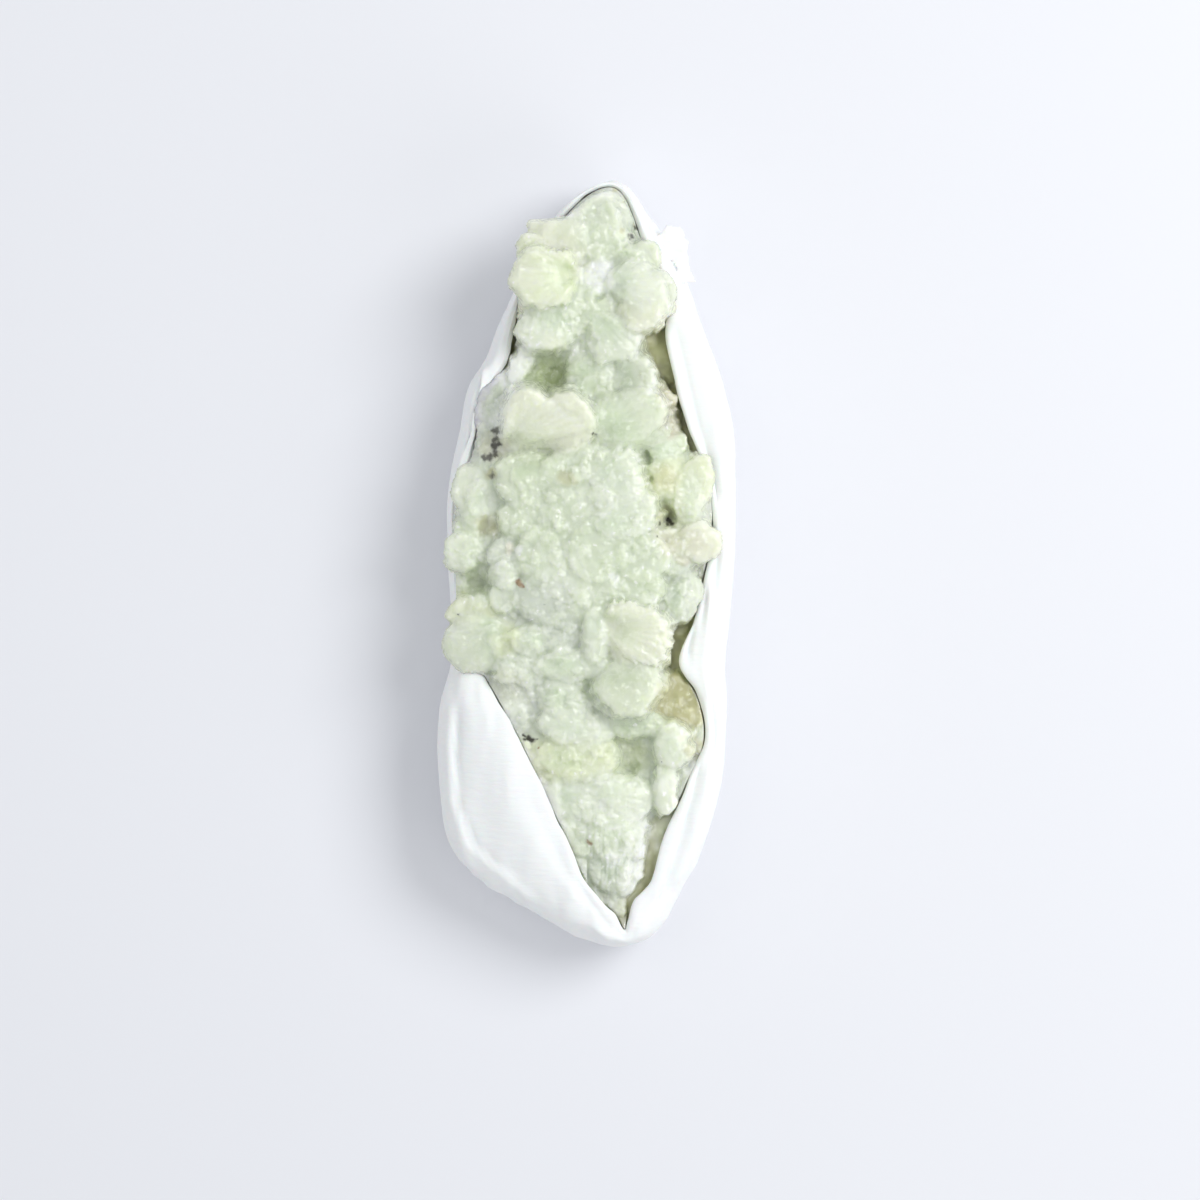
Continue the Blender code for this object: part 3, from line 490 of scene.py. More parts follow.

# Coloured patches on the stone: x, y, radius, share, tint.
# Deep green and olive patches laid in hollows, and the deep green one along the lower side of the large cream fan, are
# painted shade.
PATCHES = (
    (3.4, 57.4, 1.2, 0.7, "white"),
    (-2.2, 54.8, 1.2, 0.8, "white"),
    (-6.4, 52.0, 2.0, 0.6, "cream"),
    (2.0, 45.2, 1.8, 0.7, "white"),
    (9.6, 37.6, 2.4, 0.9, "cream"),
    (-9.6, 44.6, 2.4, 0.7, "cream"),
    (-5.0, 33.8, 1.8, 0.6, "cream"),
    (-6.0, 30.0, 3.2, 0.8, "deep"),
    (-8.2, 26.4, 1.4, 0.7, "cream"),
    (-3.6, 25.6, 1.2, 0.7, "cream"),
    (9.8, 27.0, 1.2, 0.7, "white"),
    (10.4, 31.0, 0.9, 0.6, "white"),
    (-15.4, 26.0, 2.6, 0.6, "grey"),
    (-8.0, 16.6, 2.6, 0.5, "deep"),
    (-3.0, 13.4, 1.5, 0.5, "olive"),
    (12.2, 13.2, 2.2, 0.6, "olive"),
    (12.2, 8.8, 1.7, 0.6, "deep"),
    (9.2, 16.4, 1.4, 0.6, "deep"),
    (17.6, 3.0, 2.6, 0.5, "brown"),
    (13.0, 3.0, 2.0, 0.4, "brown"),
    (-15.4, 6.0, 2.0, 0.6, "olive"),
    (-17.2, -2.4, 2.6, 0.7, "deep"),
    (-21.0, -3.0, 1.4, 0.8, "white"),
    (-12.0, 2.4, 0.9, 0.7, "brown"),
    (-10.5, 2.0, 0.6, 0.9, "white"),
    (4.4, -2.4, 0.9, 0.8, "white"),
    (2.8, 7.4, 0.9, 0.6, "white"),
    (10.2, -5.8, 0.7, 0.8, "white"),
    (12.4, -11.6, 1.4, 0.8, "cream"),
    (14.0, -20.4, 3.6, 1.0, "olive"),
    (16.8, -23.6, 2.0, 1.0, "olive"),
    (6.0, -29.4, 2.4, 0.7, "grey"),
    (7.0, -32.0, 1.4, 0.8, "deep"),
    (16.6, -28.6, 1.8, 0.8, "olive"),
    (10.0, -20.6, 1.4, 0.5, "yellow"),
    (12.4, -34.2, 1.6, 0.7, "white"),
    (-12.0, -19.0, 3.0, 0.25, "brown"),
    (-9.8, -21.6, 3.2, 0.5, "bright"),
    (9.4, 42.4, 3.4, 0.6, "bright"),
    (1.8, 10.6, 4.6, 0.35, "bright"),
    (-3.0, -2.0, 5.0, 0.40, "bright"),
    (1.4, -11.4, 3.0, 0.5, "bright"),
    (3.0, -37.0, 6.0, 0.5, "bright"),
    (17.0, 9.0, 4.0, 0.4, "bright"),
    (-1.0, -26.0, 4.5, 0.35, "bright"),
    (6.2, -19.4, 4.6, 0.40, "deep"),
    (-17.6, -12.6, 4.0, 0.30, "deep"),
    (7.6, 29.0, 3.0, 0.35, "deep"),
    (4.2, -46.0, 1.2, 0.8, "white"),
    (4.2, -41.0, 0.8, 0.6, "white"),
    (2.4, -37.4, 0.8, 0.6, "white"),
)

# Dark specks of the matrix: x, y, radius, share, tint.
SPECKS = (
    (-14.4, 18.2, 2.60, 0.45, "brown"),
    (-14.2, 20.7, 0.55, 0.8, "black"),
    (-14.2, 19.6, 0.60, 0.85, "black"),
    (-14.0, 18.5, 0.75, 0.9, "black"),
    (-14.0, 17.4, 0.70, 0.9, "black"),
    (-15.0, 16.8, 0.70, 0.85, "black"),
    (-16.0, 16.6, 0.55, 0.8, "black"),
    (-14.8, 14.0, 1.10, 0.6, "olive"),
    (-14.7, 13.7, 0.45, 0.7, "black"),
    (1.15, 20.0, 0.42, 1.0, "black"),
    (12.2, 7.8, 1.6, 0.5, "olive"),
    (12.7, 6.4, 0.8, 1.0, "black"),
    (11.9, 7.2, 0.5, 1.0, "brown"),
    (11.4, 6.2, 0.35, 0.9, "black"),
    (10.95, 4.3, 0.2, 1.0, "black"),
    (-10.5, -3.0, 0.55, 0.8, "rust"),
    (-10.0, -3.3, 0.25, 1.0, "rust"),
    (-1.7, -17.2, 0.15, 1.0, "black"),
    (-8.7, -27.3, 0.7, 1.0, "black"),
    (-9.6, -27.0, 0.4, 1.0, "black"),
    (-7.7, -26.9, 0.35, 1.0, "black"),
    (-7.4, -28.4, 0.35, 0.8, "rust"),
    (-19.8, -8.0, 0.25, 0.9, "black"),
    (0.4, -43.4, 0.35, 0.7, "rust"),
    (7.2, 50.8, 0.5, 0.9, "black"),
    (7.6, 52.4, 0.3, 0.9, "black"),
    (4.6, 58.2, 0.6, 0.6, "olive"),
    (6.0, 56.6, 0.5, 0.6, "olive"),
    (5.6, 51.6, 0.5, 0.5, "olive"),
    (11.6, -30.4, 0.2, 0.9, "black"),
)

# Places where the stone is fine grained like sugar: x, y, radius.
SUGARY = (
    (4.5, -49.0, 7.0),
    (3.0, -41.0, 6.0),
    (-10.5, -20.0, 4.5),
    (16.4, 9.0, 5.0),
    (10.0, 27.0, 3.0),
    (-18.0, 0.0, 4.0),
    (11.0, -13.0, 3.0),
    (8.0, -25.0, 4.0),
    (-15.5, 20.0, 5.0),
)

# Places where the stone is smooth and its small scales lie flat: x, y, radius.
SMOOTH = (
    (-6.2, 21.4, 7.0),
    (6.6, 22.0, 5.4),
    (6.4, -19.0, 5.6),
    (7.8, -10.6, 5.2),
    (14.2, -21.0, 5.0),
    (-17.6, -12.4, 4.2),
    (12.4, 13.0, 2.8),
    (-6.6, 44.0, 4.4),
    (9.0, 42.0, 4.4),
    (-4.4, 51.8, 3.6),
)


# Numbers and meshes


def lattice_noise(points, size, seed):
    """Smooth noise from -1 to 1 at each point, with lumps of about this size in millimetres."""
    count = 40
    table = np.random.default_rng(seed).uniform(-1, 1, (count, count, count))
    place = points / size
    cell = np.floor(place).astype(np.int64)
    t = place - cell
    t = t * t * (3 - 2 * t)
    total = np.zeros(len(points))
    for corner in range(8):
        step = np.array([corner & 1, corner >> 1 & 1, corner >> 2 & 1])
        share = np.prod(np.where(step == 1, t, 1 - t), axis=1)
        index = (cell + step) % count
        total += share * table[index[:, 0], index[:, 1], index[:, 2]]
    return total


def smoothstep(low, high, values):
    t = np.clip((values - low) / (high - low), 0, 1)
    return t * t * (3 - 2 * t)


def mesh_from_arrays(name, points, faces):
    """A mesh from points in millimetres and faces that all have the same number of sides."""
    mesh = bpy.data.meshes.new(name)
    sides = faces.shape[1]
    mesh.vertices.add(len(points))
    mesh.vertices.foreach_set("co", (points * MM).astype(np.float32).ravel())
    mesh.loops.add(faces.size)
    mesh.loops.foreach_set("vertex_index", faces.astype(np.int32).ravel())
    mesh.polygons.add(len(faces))
    mesh.polygons.foreach_set("loop_start", np.arange(0, faces.size, sides, dtype=np.int32))
    mesh.update(calc_edges=True)
    mesh.validate()
    return mesh


def grid_faces(rows, columns):
    """Four-sided faces of a grid of points laid out row by row, each row closed on itself."""
    row, column = np.meshgrid(np.arange(rows - 1), np.arange(columns), indexing="ij")
    following = (column + 1) % columns
    return np.stack([
        row * columns + column,
        row * columns + following,
        (row + 1) * columns + following,
        (row + 1) * columns + column,
    ], axis=-1).reshape(-1, 4)


def linked(name, mesh):
    piece = bpy.data.objects.new(name, mesh)
    bpy.context.scene.collection.objects.link(piece)
    return piece


def applied(piece, name):
    """The piece's mesh with its modifiers applied, and the piece itself removed."""
    bpy.context.view_layer.update()
    graph = bpy.context.evaluated_depsgraph_get()
    mesh = bpy.data.meshes.new_from_object(piece.evaluated_get(graph), depsgraph=graph)
    mesh.name = name
    bpy.data.objects.remove(piece)
    return mesh


def read_points(mesh):
    points = np.empty(len(mesh.vertices) * 3, np.float32)
    mesh.vertices.foreach_get("co", points)
    return points.reshape(-1, 3).astype(np.float64) / MM


def read_normals(mesh):
    normals = np.empty(len(mesh.vertices) * 3, np.float32)
    mesh.vertex_normals.foreach_get("vector", normals)
    return normals.reshape(-1, 3).astype(np.float64)


def write_points(mesh, points):
    mesh.vertices.foreach_set("co", (points * MM).astype(np.float32).ravel())
    mesh.update()


def material(name):
    made = bpy.data.materials.new(name)
    made.use_nodes = True
    return made, made.node_tree, made.node_tree.nodes["Principled BSDF"]


# Tissue


def smooth_rows(table, places):
    """The table's values at places round it, on a closed smooth curve through its rows."""
    table = np.asarray(table, float)
    first = np.floor(places).astype(int)
    t = (places - first)[:, None]
    before, start, end, after = (table[(first + k) % len(table)] for k in (-1, 0, 1, 2))
    return 0.5 * (2 * start + (end - before) * t + (2 * before - 5 * start + 4 * end - after) * t**2
                  + (3 * start - before - 3 * end + after) * t**3)


def unit(vectors):
    return vectors / np.linalg.norm(vectors, axis=-1, keepdims=True).clip(1e-9)


def outline_rows(steps):
    rows = smooth_rows(OUTLINE, np.arange(steps) * len(OUTLINE) / steps)
    outer, rim, height = rows[:, 0:2], rows[:, 2:4], rows[:, 4:5]
    spine = np.column_stack([np.zeros(steps), outer[:, 1].clip(-SPINE_END, SPINE_END)])
    base = spine + BASE_SHARE * (outer - spine)
    return outer, rim, height, base, spine


def raised(plan, height):
    return np.concatenate([plan, np.broadcast_to(height, (len(plan), 1))], axis=1)


def sheet_points(steps):
    """The control points of the outer face of the tissue: hem, rim, side and base at each step."""
    outer, rim, height, base, spine = outline_rows(steps)
    inward = unit(base - outer)
    out = unit(outer - rim)
    width = np.linalg.norm(outer - rim, axis=1, keepdims=True)
    crest = height - 0.04 * width
    hem = np.minimum(2.4, 0.62 * width)
    nose = np.minimum(0.5, 0.2 * width)
    side = WIDEST_HEIGHT + 0.55 * (crest - WIDEST_HEIGHT)
    return np.stack([
        raised(rim + out * hem, height - 1.15),
        raised(rim + out * nose, height - 1.15),
        raised(rim, height - 0.62),
        raised(rim + out * nose, height - 0.08),
        raised(rim + 0.30 * (outer - rim), height),
        raised(rim + 0.66 * (outer - rim), crest - 0.10 * width),
        raised(outer + inward * 0.5, side),
        raised(outer, WIDEST_HEIGHT),
        raised(outer + 0.22 * (base - outer), LOWER_HEIGHT),
        raised(base, 0.0),
        raised(base + 0.5 * (spine - base), 0.0),
        raised(spine, 0.0),
    ])


def along_points(controls, places):
    """Points on a smooth open curve through the control points, which are the first axis."""
    padded = np.concatenate([controls[:1], controls, controls[-1:]])
    first = np.floor(places).astype(int).clip(0, len(controls) - 2)
    t = (places - first).reshape(-1, 1, 1)
    before, start, end, after = (padded[first + k] for k in range(4))
    return 0.5 * (2 * start + (end - before) * t + (2 * before - 5 * start + 4 * end - after) * t**2
                  + (3 * start - before - 3 * end + after) * t**3)


def fold_height(plan, kind, width, amount, line):
    """How much one fold raises the sheet at each place in the plan."""
    line = np.asarray(line)
    starts, ends = line[:-1], line[1:]
    runs = ends - starts
    lengths = np.linalg.norm(runs, axis=1)
    before = np.concatenate([[0], np.cumsum(lengths)])
    best = np.full(len(plan), 1e9)
    side = np.zeros(len(plan))
    along = np.zeros(len(plan))
    for k, (start, run, length) in enumerate(zip(starts, runs, lengths)):
        share = ((plan - start) @ run / length**2).clip(0, 1)
        away = plan - (start + share[:, None] * run)
        distance = np.linalg.norm(away, axis=1)
        nearer = distance < best
        best = np.where(nearer, distance, best)
        cross = run[0] * away[:, 1] - run[1] * away[:, 0]
        side = np.where(nearer, np.sign(cross), side)
        along = np.where(nearer, before[k] + share * length, along)
    fade = smoothstep(0, 4.0, along) * smoothstep(0, 4.0, before[-1] - along)
    if kind == "step":
        rise = np.where(side > 0, np.exp(-best / width), -0.6 * np.exp(-best / width * 1.5))
        return amount * fade * rise
    sharp = np.exp(-((best / width) ** 1.4))
    return (amount if kind == "ridge" else -amount) * fade * sharp


def scrap_cloud():
    """The torn scrap as one layer of small squares with a ragged edge and a slit."""
    cell = 0.22
    xs = np.arange(10.0, 17.4, cell)
    ys = np.arange(43.0, 53.6, cell)
    grid_x, grid_y = np.meshgrid(xs, ys, indexing="ij")
    centres = np.stack([grid_x + cell / 2, grid_y + cell / 2, np.zeros_like(grid_x)], axis=-1).reshape(-1, 3)
    jitter = np.stack([lattice_noise(centres, 0.7, 51), lattice_noise(centres, 0.7, 52)], axis=1)
    probe = centres[:, :2] + 0.40 * jitter
    corners = np.asarray(SCRAP)
    inside = np.zeros(len(probe), bool)
    for (x0, y0), (x1, y1) in zip(corners, np.roll(corners, -1, axis=0)):
        crosses = (y0 > probe[:, 1]) != (y1 > probe[:, 1])
        inside ^= crosses & (probe[:, 0] < (x1 - x0) * (probe[:, 1] - y0) / (y1 - y0) + x0)
    slit = np.abs((probe[:, 0] - 13.15) + (probe[:, 1] - 47.6) * 0.62) < 0.16
    inside &= ~(slit & (probe[:, 1] > 45.9) & (probe[:, 1] < 47.5))
    keep = np.nonzero(inside)[0]
    columns = len(ys)
    row, column = keep // columns, keep % columns
    corner_ids = [(row + a) * (columns + 1) + column + b for a, b in ((0, 0), (1, 0), (1, 1), (0, 1))]
    used, index = np.unique(np.stack(corner_ids, axis=1), return_inverse=True)
    faces = index.reshape(-1, 4)
    points = np.column_stack([
        10.0 + (used // (columns + 1)) * cell,
        43.0 + (used % (columns + 1)) * cell,
        np.full(len(used), SCRAP_HEIGHT),
    ])
    flat = points * (1, 1, 0)
    points[:, 0] += 0.10 * lattice_noise(flat, 0.35, 53)
    points[:, 1] += 0.10 * lattice_noise(flat, 0.35, 54)
    points[:, 2] += 0.35 * lattice_noise(flat, 2.6, 55) + 0.10 * lattice_noise(flat, 0.9, 56)
    return points, faces


def closed_between(upper, lower, faces):
    """Two layers with the same faces, and the strips that join them all round."""
    count = len(upper)
    edges = np.concatenate([faces[:, [k, (k + 1) % 4]] for k in range(4)])
    ordered = np.sort(edges, axis=1)
    _, first, counts = np.unique(ordered, axis=0, return_index=True, return_counts=True)
    open_edges = edges[first[counts == 1]]
    strips = np.column_stack([open_edges[:, 1], open_edges[:, 0], open_edges[:, 0] + count, open_edges[:, 1] + count])
    return np.concatenate([upper, lower]), np.concatenate([faces, faces[:, ::-1] + count, strips])


def build_wrap():
    controls = sheet_points(WRAP_STEPS)
    places = np.concatenate([
        np.linspace(0, 4, 20, endpoint=False),
        np.linspace(4, 7, 26, endpoint=False),
        np.linspace(7, 11, 19),
    ])
    grid = along_points(controls, places)
    rows, columns = grid.shape[:2]
    along_v = np.gradient(grid, axis=0)
    along_u = (np.roll(grid, -1, axis=1) - np.roll(grid, 1, axis=1)) / 2
    normals = unit(np.cross(along_v, along_u))
    if normals[30, :, 2].mean() < 0:
        normals = -normals
    points = grid.reshape(-1, 3)
    flat_normals = normals.reshape(-1, 3)
    top = smoothstep(9.0, 12.0, points[:, 2])
    hem = np.repeat(smoothstep(2.6, 3.4, places), columns)
    raise_by = np.zeros(len(points))
    for kind, width, amount, line in FOLDS:
        raise_by += fold_height(points[:, :2], kind, 0.8 * width, FOLD_DEPTH * amount, line) * hem
    wrinkle = 0.20 * lattice_noise(points, np.array([2.4, 12.0, 3.0]), 41)
    wrinkle += 0.09 * lattice_noise(points, np.array([1.1, 5.0, 1.4]), 42)
    wrinkle += 0.03 * lattice_noise(points, 0.9, 43)
    crease = 0.5 * (1 - 2 * np.abs(lattice_noise(points, np.array([7.0, 16.0, 6.0]), 44)) ** 0.6)
    low = 1 - top
    points = points + flat_normals * (raise_by * top + wrinkle * (0.5 + 0.5 * top) + crease * 0.5 * low)[:, None]
    points[:, 2] = points[:, 2].clip(0.02, None)
    # The inner face follows the outer one at the sheet's thickness.
    inner = points - flat_normals * SHEET_LOOKS
    base_row = np.repeat(places >= 8.8, columns)
    inner[base_row, 2] = points[base_row, 2] + SHEET_LOOKS
    inner[base_row, :2] = points[base_row, :2]
    # Both halves of the underside end on the same points of the spine, which closes the sheet.
    last = slice(len(points) - columns, None)
    for face, height in ((points, 0.02), (inner, 0.02 + SHEET_LOOKS)):
        face[last] = np.column_stack([np.zeros(columns), controls[-1][:, 1].round(), np.full(columns, height)])
    outer_faces = grid_faces(rows, columns)
    count = len(points)
    rim = np.arange(columns)
    following = np.roll(rim, -1)
    strip = np.column_stack([rim, rim + count, following + count, following])
    scrap_upper, scrap_quads = scrap_cloud()
    scrap_points, scrap_faces = closed_between(scrap_upper, scrap_upper - (0, 0, 0.18), scrap_quads)
    faces = np.concatenate([outer_faces[:, ::-1], outer_faces + count, strip[:, ::-1], scrap_faces + 2 * count])
    mesh = mesh_from_arrays("tissue", np.concatenate([points, inner, scrap_points]), faces)
    bm = bmesh.new()
    bm.from_mesh(mesh)
    bmesh.ops.remove_doubles(bm, verts=bm.verts, dist=0.00001)
    bmesh.ops.recalc_face_normals(bm, faces=bm.faces)
    bm.to_mesh(mesh)
    bm.free()
    mesh.shade_smooth()
    wrap = linked("tissue", mesh)
    area = sum(polygon.area for polygon in mesh.polygons) / 2
    print("tissue triangles", sum(len(p.vertices) - 2 for p in mesh.polygons), "half area", area)
    made, tree, shader = material("White tissue")
    shader.inputs["Base Color"].default_value = (0.935, 0.935, 0.937, 1)
    shader.inputs["Roughness"].default_value = 0.9
    shader.inputs["Specular IOR Level"].default_value = 0.25
    shader.inputs["Subsurface Weight"].default_value = 0.15
    shader.inputs["Subsurface Scale"].default_value = 0.001
    noise = tree.nodes.new("ShaderNodeTexNoise")
    noise.inputs["Scale"].default_value = 700
    noise.inputs["Detail"].default_value = 4
    bump = tree.nodes.new("ShaderNodeBump")
    bump.inputs["Strength"].default_value = 0.5
    bump.inputs["Distance"].default_value = 0.00022
    coordinates = tree.nodes.new("ShaderNodeTexCoord")
    # The paper's fibres run across, so its grain is drawn out that way.
    fibres = tree.nodes.new("ShaderNodeMapping")
    fibres.inputs["Scale"].default_value = (0.35, 2.2, 1.0)
    tree.links.new(coordinates.outputs["Object"], fibres.inputs["Vector"])
    tree.links.new(fibres.outputs["Vector"], noise.inputs["Vector"])
    tree.links.new(noise.outputs["Fac"], bump.inputs["Height"])
    tree.links.new(bump.outputs["Normal"], shader.inputs["Normal"])
    mesh.materials.append(made)
    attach(wrap, "root")
    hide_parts("tissue_wrap")
    return wrap, area


def room_points(steps):
    """The points that bound the room inside the tissue at each step, out to past the rim."""
    outer, rim, height, base, spine = outline_rows(steps)
    inward = unit(base - outer)
    into = unit(rim - outer)
    width = np.linalg.norm(outer - rim, axis=1, keepdims=True)
    crest = height - 0.04 * width
    clear = SHEET_THICKNESS + GAP
    over = rim + into * RIM_GAP
    under_height = height - RIM_TURN_DOWN - clear
    turn_height = crest - 0.10 * width
    broad = np.clip((width - NARROW_STRIP) / NARROW_STRIP, 0, 1)
    shoulder = over + broad * (rim + 0.66 * (outer - rim) + into * 0.2 - over)
    shoulder_height = np.minimum(turn_height - clear, under_height) - 0.3
    side_height = WIDEST_HEIGHT + 0.55 * (crest - WIDEST_HEIGHT)
    low = outer + 0.22 * (base - outer)
    return np.stack([
        raised(outer * FAR_OUT, BELOW_ALL),
        raised(outer * FAR_OUT, height + GAP),
        raised(over, height + GAP),
        raised(over, under_height),
        raised(shoulder, shoulder_height),
        raised(outer + inward * 0.5 + into * (clear + 0.35), side_height - 0.4),
        raised(outer + into * (clear + 0.3), WIDEST_HEIGHT),
        raised(low + 0.12 * (base - low), LOWER_HEIGHT + clear),
        raised(base, clear),
    ])


def room_outside():
    """Everything that the stone may not enter: the tissue, its clearance and what is outside it."""
    rings = room_points(ROOM_STEPS)
    bm = bmesh.new()
    verts = [[bm.verts.new(Vector(point) * MM) for point in ring] for ring in rings]
    for ring, following in zip(verts, verts[1:]):
        for k in range(ROOM_STEPS):
            after = (k + 1) % ROOM_STEPS
            bm.faces.new((ring[k], following[k], following[after], ring[after]))
    bm.faces.new(verts[0])
    bm.faces.new(verts[-1])
    bmesh.ops.recalc_face_normals(bm, faces=bm.faces)
    mesh = bpy.data.meshes.new("room_outside")
    bm.to_mesh(mesh)
    bm.free()
    return linked("room_outside", mesh)


# Stone


class Field:
    """The stone's upper surface on a fine grid seen from above: height, tint, and how near a frilled edge is, for the
    painted edge light.
    """

    def __init__(self):
        xs = np.arange(FIELD_LEFT, FIELD_RIGHT, CELL)
        ys = np.arange(FIELD_LOW, FIELD_HIGH, CELL)
        self.x, self.y = np.meshgrid(xs, ys)
        self.height = np.full(self.x.shape, float(BELOW_ALL))
        self.tint = np.tile(np.array(TINTS["green"]), (*self.x.shape, 1))
        # Nearness to a frilled edge, where the thin edges get painted light.
        self.rim = np.zeros(self.x.shape)

    def window(self, points, margin):
        """The part of the grid that covers these points."""
        low = points.min(axis=0) - margin - (FIELD_LEFT, FIELD_LOW)
        high = points.max(axis=0) + margin - (FIELD_LEFT, FIELD_LOW)
        first = np.floor(low / CELL).astype(int).clip(0)
        last = np.ceil(high / CELL).astype(int).clip(1)
        return slice(first[1], last[1]), slice(first[0], last[0])

    def noise(self, size, seed, part=(slice(None), slice(None))):
        x, y = self.x[part], self.y[part]
        places = np.stack([x.ravel(), y.ravel(), np.zeros(x.size)], axis=1)
        return lattice_noise(places, size, seed).reshape(x.shape)

    def at(self, values, points):
        """The values of one of the field's grids at these places in the plan."""
        column = ((points[:, 0] - FIELD_LEFT) / CELL).round().astype(int).clip(0, self.x.shape[1] - 1)
        row = ((points[:, 1] - FIELD_LOW) / CELL).round().astype(int).clip(0, self.x.shape[0] - 1)
        return values[row, column]


def blurred(values, radius, rounds=3):
    """The grid's values, evened out over about this many millimetres."""
    steps = range(-round(radius / CELL), round(radius / CELL) + 1)
    for _ in range(rounds):
        for axis in (0, 1):
            values = sum(np.roll(values, step, axis) for step in steps) / len(steps)
    return values


def smooth_line(points, steps=8):
    """A smooth curve through the points, as a finer list of points."""
    points = np.asarray(points, float)
    padded = np.concatenate([points[:1], points, points[-1:]])
    t = np.linspace(0, 1, steps, endpoint=False)[:, None]
    pieces = []
    for before, start, end, after in zip(padded, padded[1:], padded[2:], padded[3:]):
        pieces.append(0.5 * (2 * start + (end - before) * t + (2 * before - 5 * start + 4 * end - after) * t**2
                             + (3 * start - before - 3 * end + after) * t**3))
    return np.concatenate([*pieces, points[-1:]])


def blade_pattern(arc, length, blade, rng):
    """For each place along a frilled edge: its blade's number, and how near it is to the blade's side, 0 to 1."""
    widths = blade * rng.uniform(0.7, 1.35, int(length / blade) + 3)
    sides = np.cumsum(widths)
    number = np.searchsorted(sides, arc).clip(0, len(sides) - 1)
    share = (sides[number] - arc) / widths[number]
    return number, np.abs(2 * share - 1).clip(0, 1)


def fan(x, y, root, edge, blade, frill, rng):
    """A fan over places x, y: the share of the way to its frilled edge, over 1 outside; its fine relief; its flanks."""
    line = smooth_line(edge) - root
    middle = line.mean(axis=0)
    heading = math.atan2(middle[1], middle[0])
    turns = (np.arctan2(line[:, 1], line[:, 0]) - heading + math.pi) % (2 * math.pi) - math.pi
    order = np.argsort(turns)
    runs = np.hypot(*np.diff(line[order], axis=0).T)
    arcs = np.concatenate([[0], np.cumsum(runs)])
    dx, dy = x - root[0], y - root[1]
    turn = (np.arctan2(dy, dx) - heading + math.pi) % (2 * math.pi) - math.pi
    reach = np.interp(turn, turns[order], np.hypot(*line[order].T), left=0, right=0)
    arc = np.interp(turn, turns[order], arcs)
    number, side = blade_pattern(arc, arcs[-1], blade, rng)
    tooth_table = rng.uniform(0, 1, 400)
    tooth = np.interp(arc / 0.55, np.arange(400), tooth_table)
    fine = np.interp(arc / 0.17, np.arange(400), rng.uniform(0, 1, 400))
    reach_cut = reach - frill * (0.34 * side**2.4 + 1.1 * tooth + rng.uniform(-0.5, 0.4, 400)[number] - 0.2)
    share = np.hypot(dx, dy) / reach_cut.clip(0.02)
    share = np.where(reach_cut < 0.05, 9.0, share)
    outward = smoothstep(0.1, 0.8, share)
    relief = outward * (rng.uniform(-0.12, 0.12, 400)[number] - 0.20 * side**2 - 0.04 * fine)
    spread = turns.max() - turns.min()
    flank = np.minimum(turn - turns.min(), turns.max() - turn) / spread
    flank = np.where(spread > FULL_TURN, 0.5, flank)
    return share, relief, flank


def lay_base(field):
    """The massive base under everything, from its table of widths and heights."""
    table = np.array(BASE)[::-1]
    left, right, top = (np.interp(field.y, table[:, 0], table[:, k]) for k in (1, 2, 3))
    share = np.abs(field.x - (left + right) / 2) / ((right - left) / 2)
    height = top + 0.6 - 3.4 * (share - 0.34).clip(0) ** 1.5 - 14.0 * (share - 0.92).clip(0)
    inside = (share < 1.06) & (field.y < table[-1, 0]) & (field.y > table[0, 0])
    field.height = np.where(inside, height, field.height)


def lay_lumps(field):
    """The rounded lumps and the bodies of the fans, run softly into each other and into the base."""
    shift = [0.45 * field.noise(2.2, 21 + k) + 0.16 * field.noise(0.8, 31 + k) for k in (0, 1)]
    weights = np.full(field.x.shape, 1e-3)
    total = weights[..., None] * np.array(TINTS["green"])
    rows = [(row, 1.0) for row in FANS] + [(row, LUMP_SPREAD) for row in LUMPS]
    for (x, y, reach, half_width, heading, top, rise, tint), spread in rows:
        centre = np.array([[x, y]])
        part = field.window(centre, 1.6 * spread * max(reach, half_width) + 1)
        turn = math.radians(heading)
        dx = field.x[part] + shift[0][part] - x
        dy = field.y[part] + shift[1][part] - y
        u = (dx * math.cos(turn) + dy * math.sin(turn)) / (reach * spread)
        v = (-dx * math.sin(turn) + dy * math.cos(turn)) / (half_width * spread)
        plan = np.hypot(u, v)
        cap = CAP_SHARE * min(reach, half_width)
        up = np.sqrt((1 - plan ** (2 / CREST_SQUARENESS)).clip(0)) ** CREST_SQUARENESS
        height = top - LUMPS_UNDER_FANS - cap + cap * up + rise * u - 9.0 * (plan - 1).clip(0)
        present = plan < 1.06
        old = field.height[part]
        blend = (LUMP_BLEND - np.abs(old - height)).clip(0) / LUMP_BLEND
        joined = np.maximum(old, height) + blend * blend * LUMP_BLEND / 4
        field.height[part] = np.where(present & (joined > old), joined, old)
        weight = np.exp(-3.0 * plan * plan)
        total[part] += weight[..., None] * np.array(TINTS[tint])
        weights[part] += weight
    field.tint = total / weights[..., None]


def soft_least(values, least):
    """The values, kept over this least one without a kink."""
    over = values - least
    return least + (over + np.sqrt(over * over + 0.4)) / 2


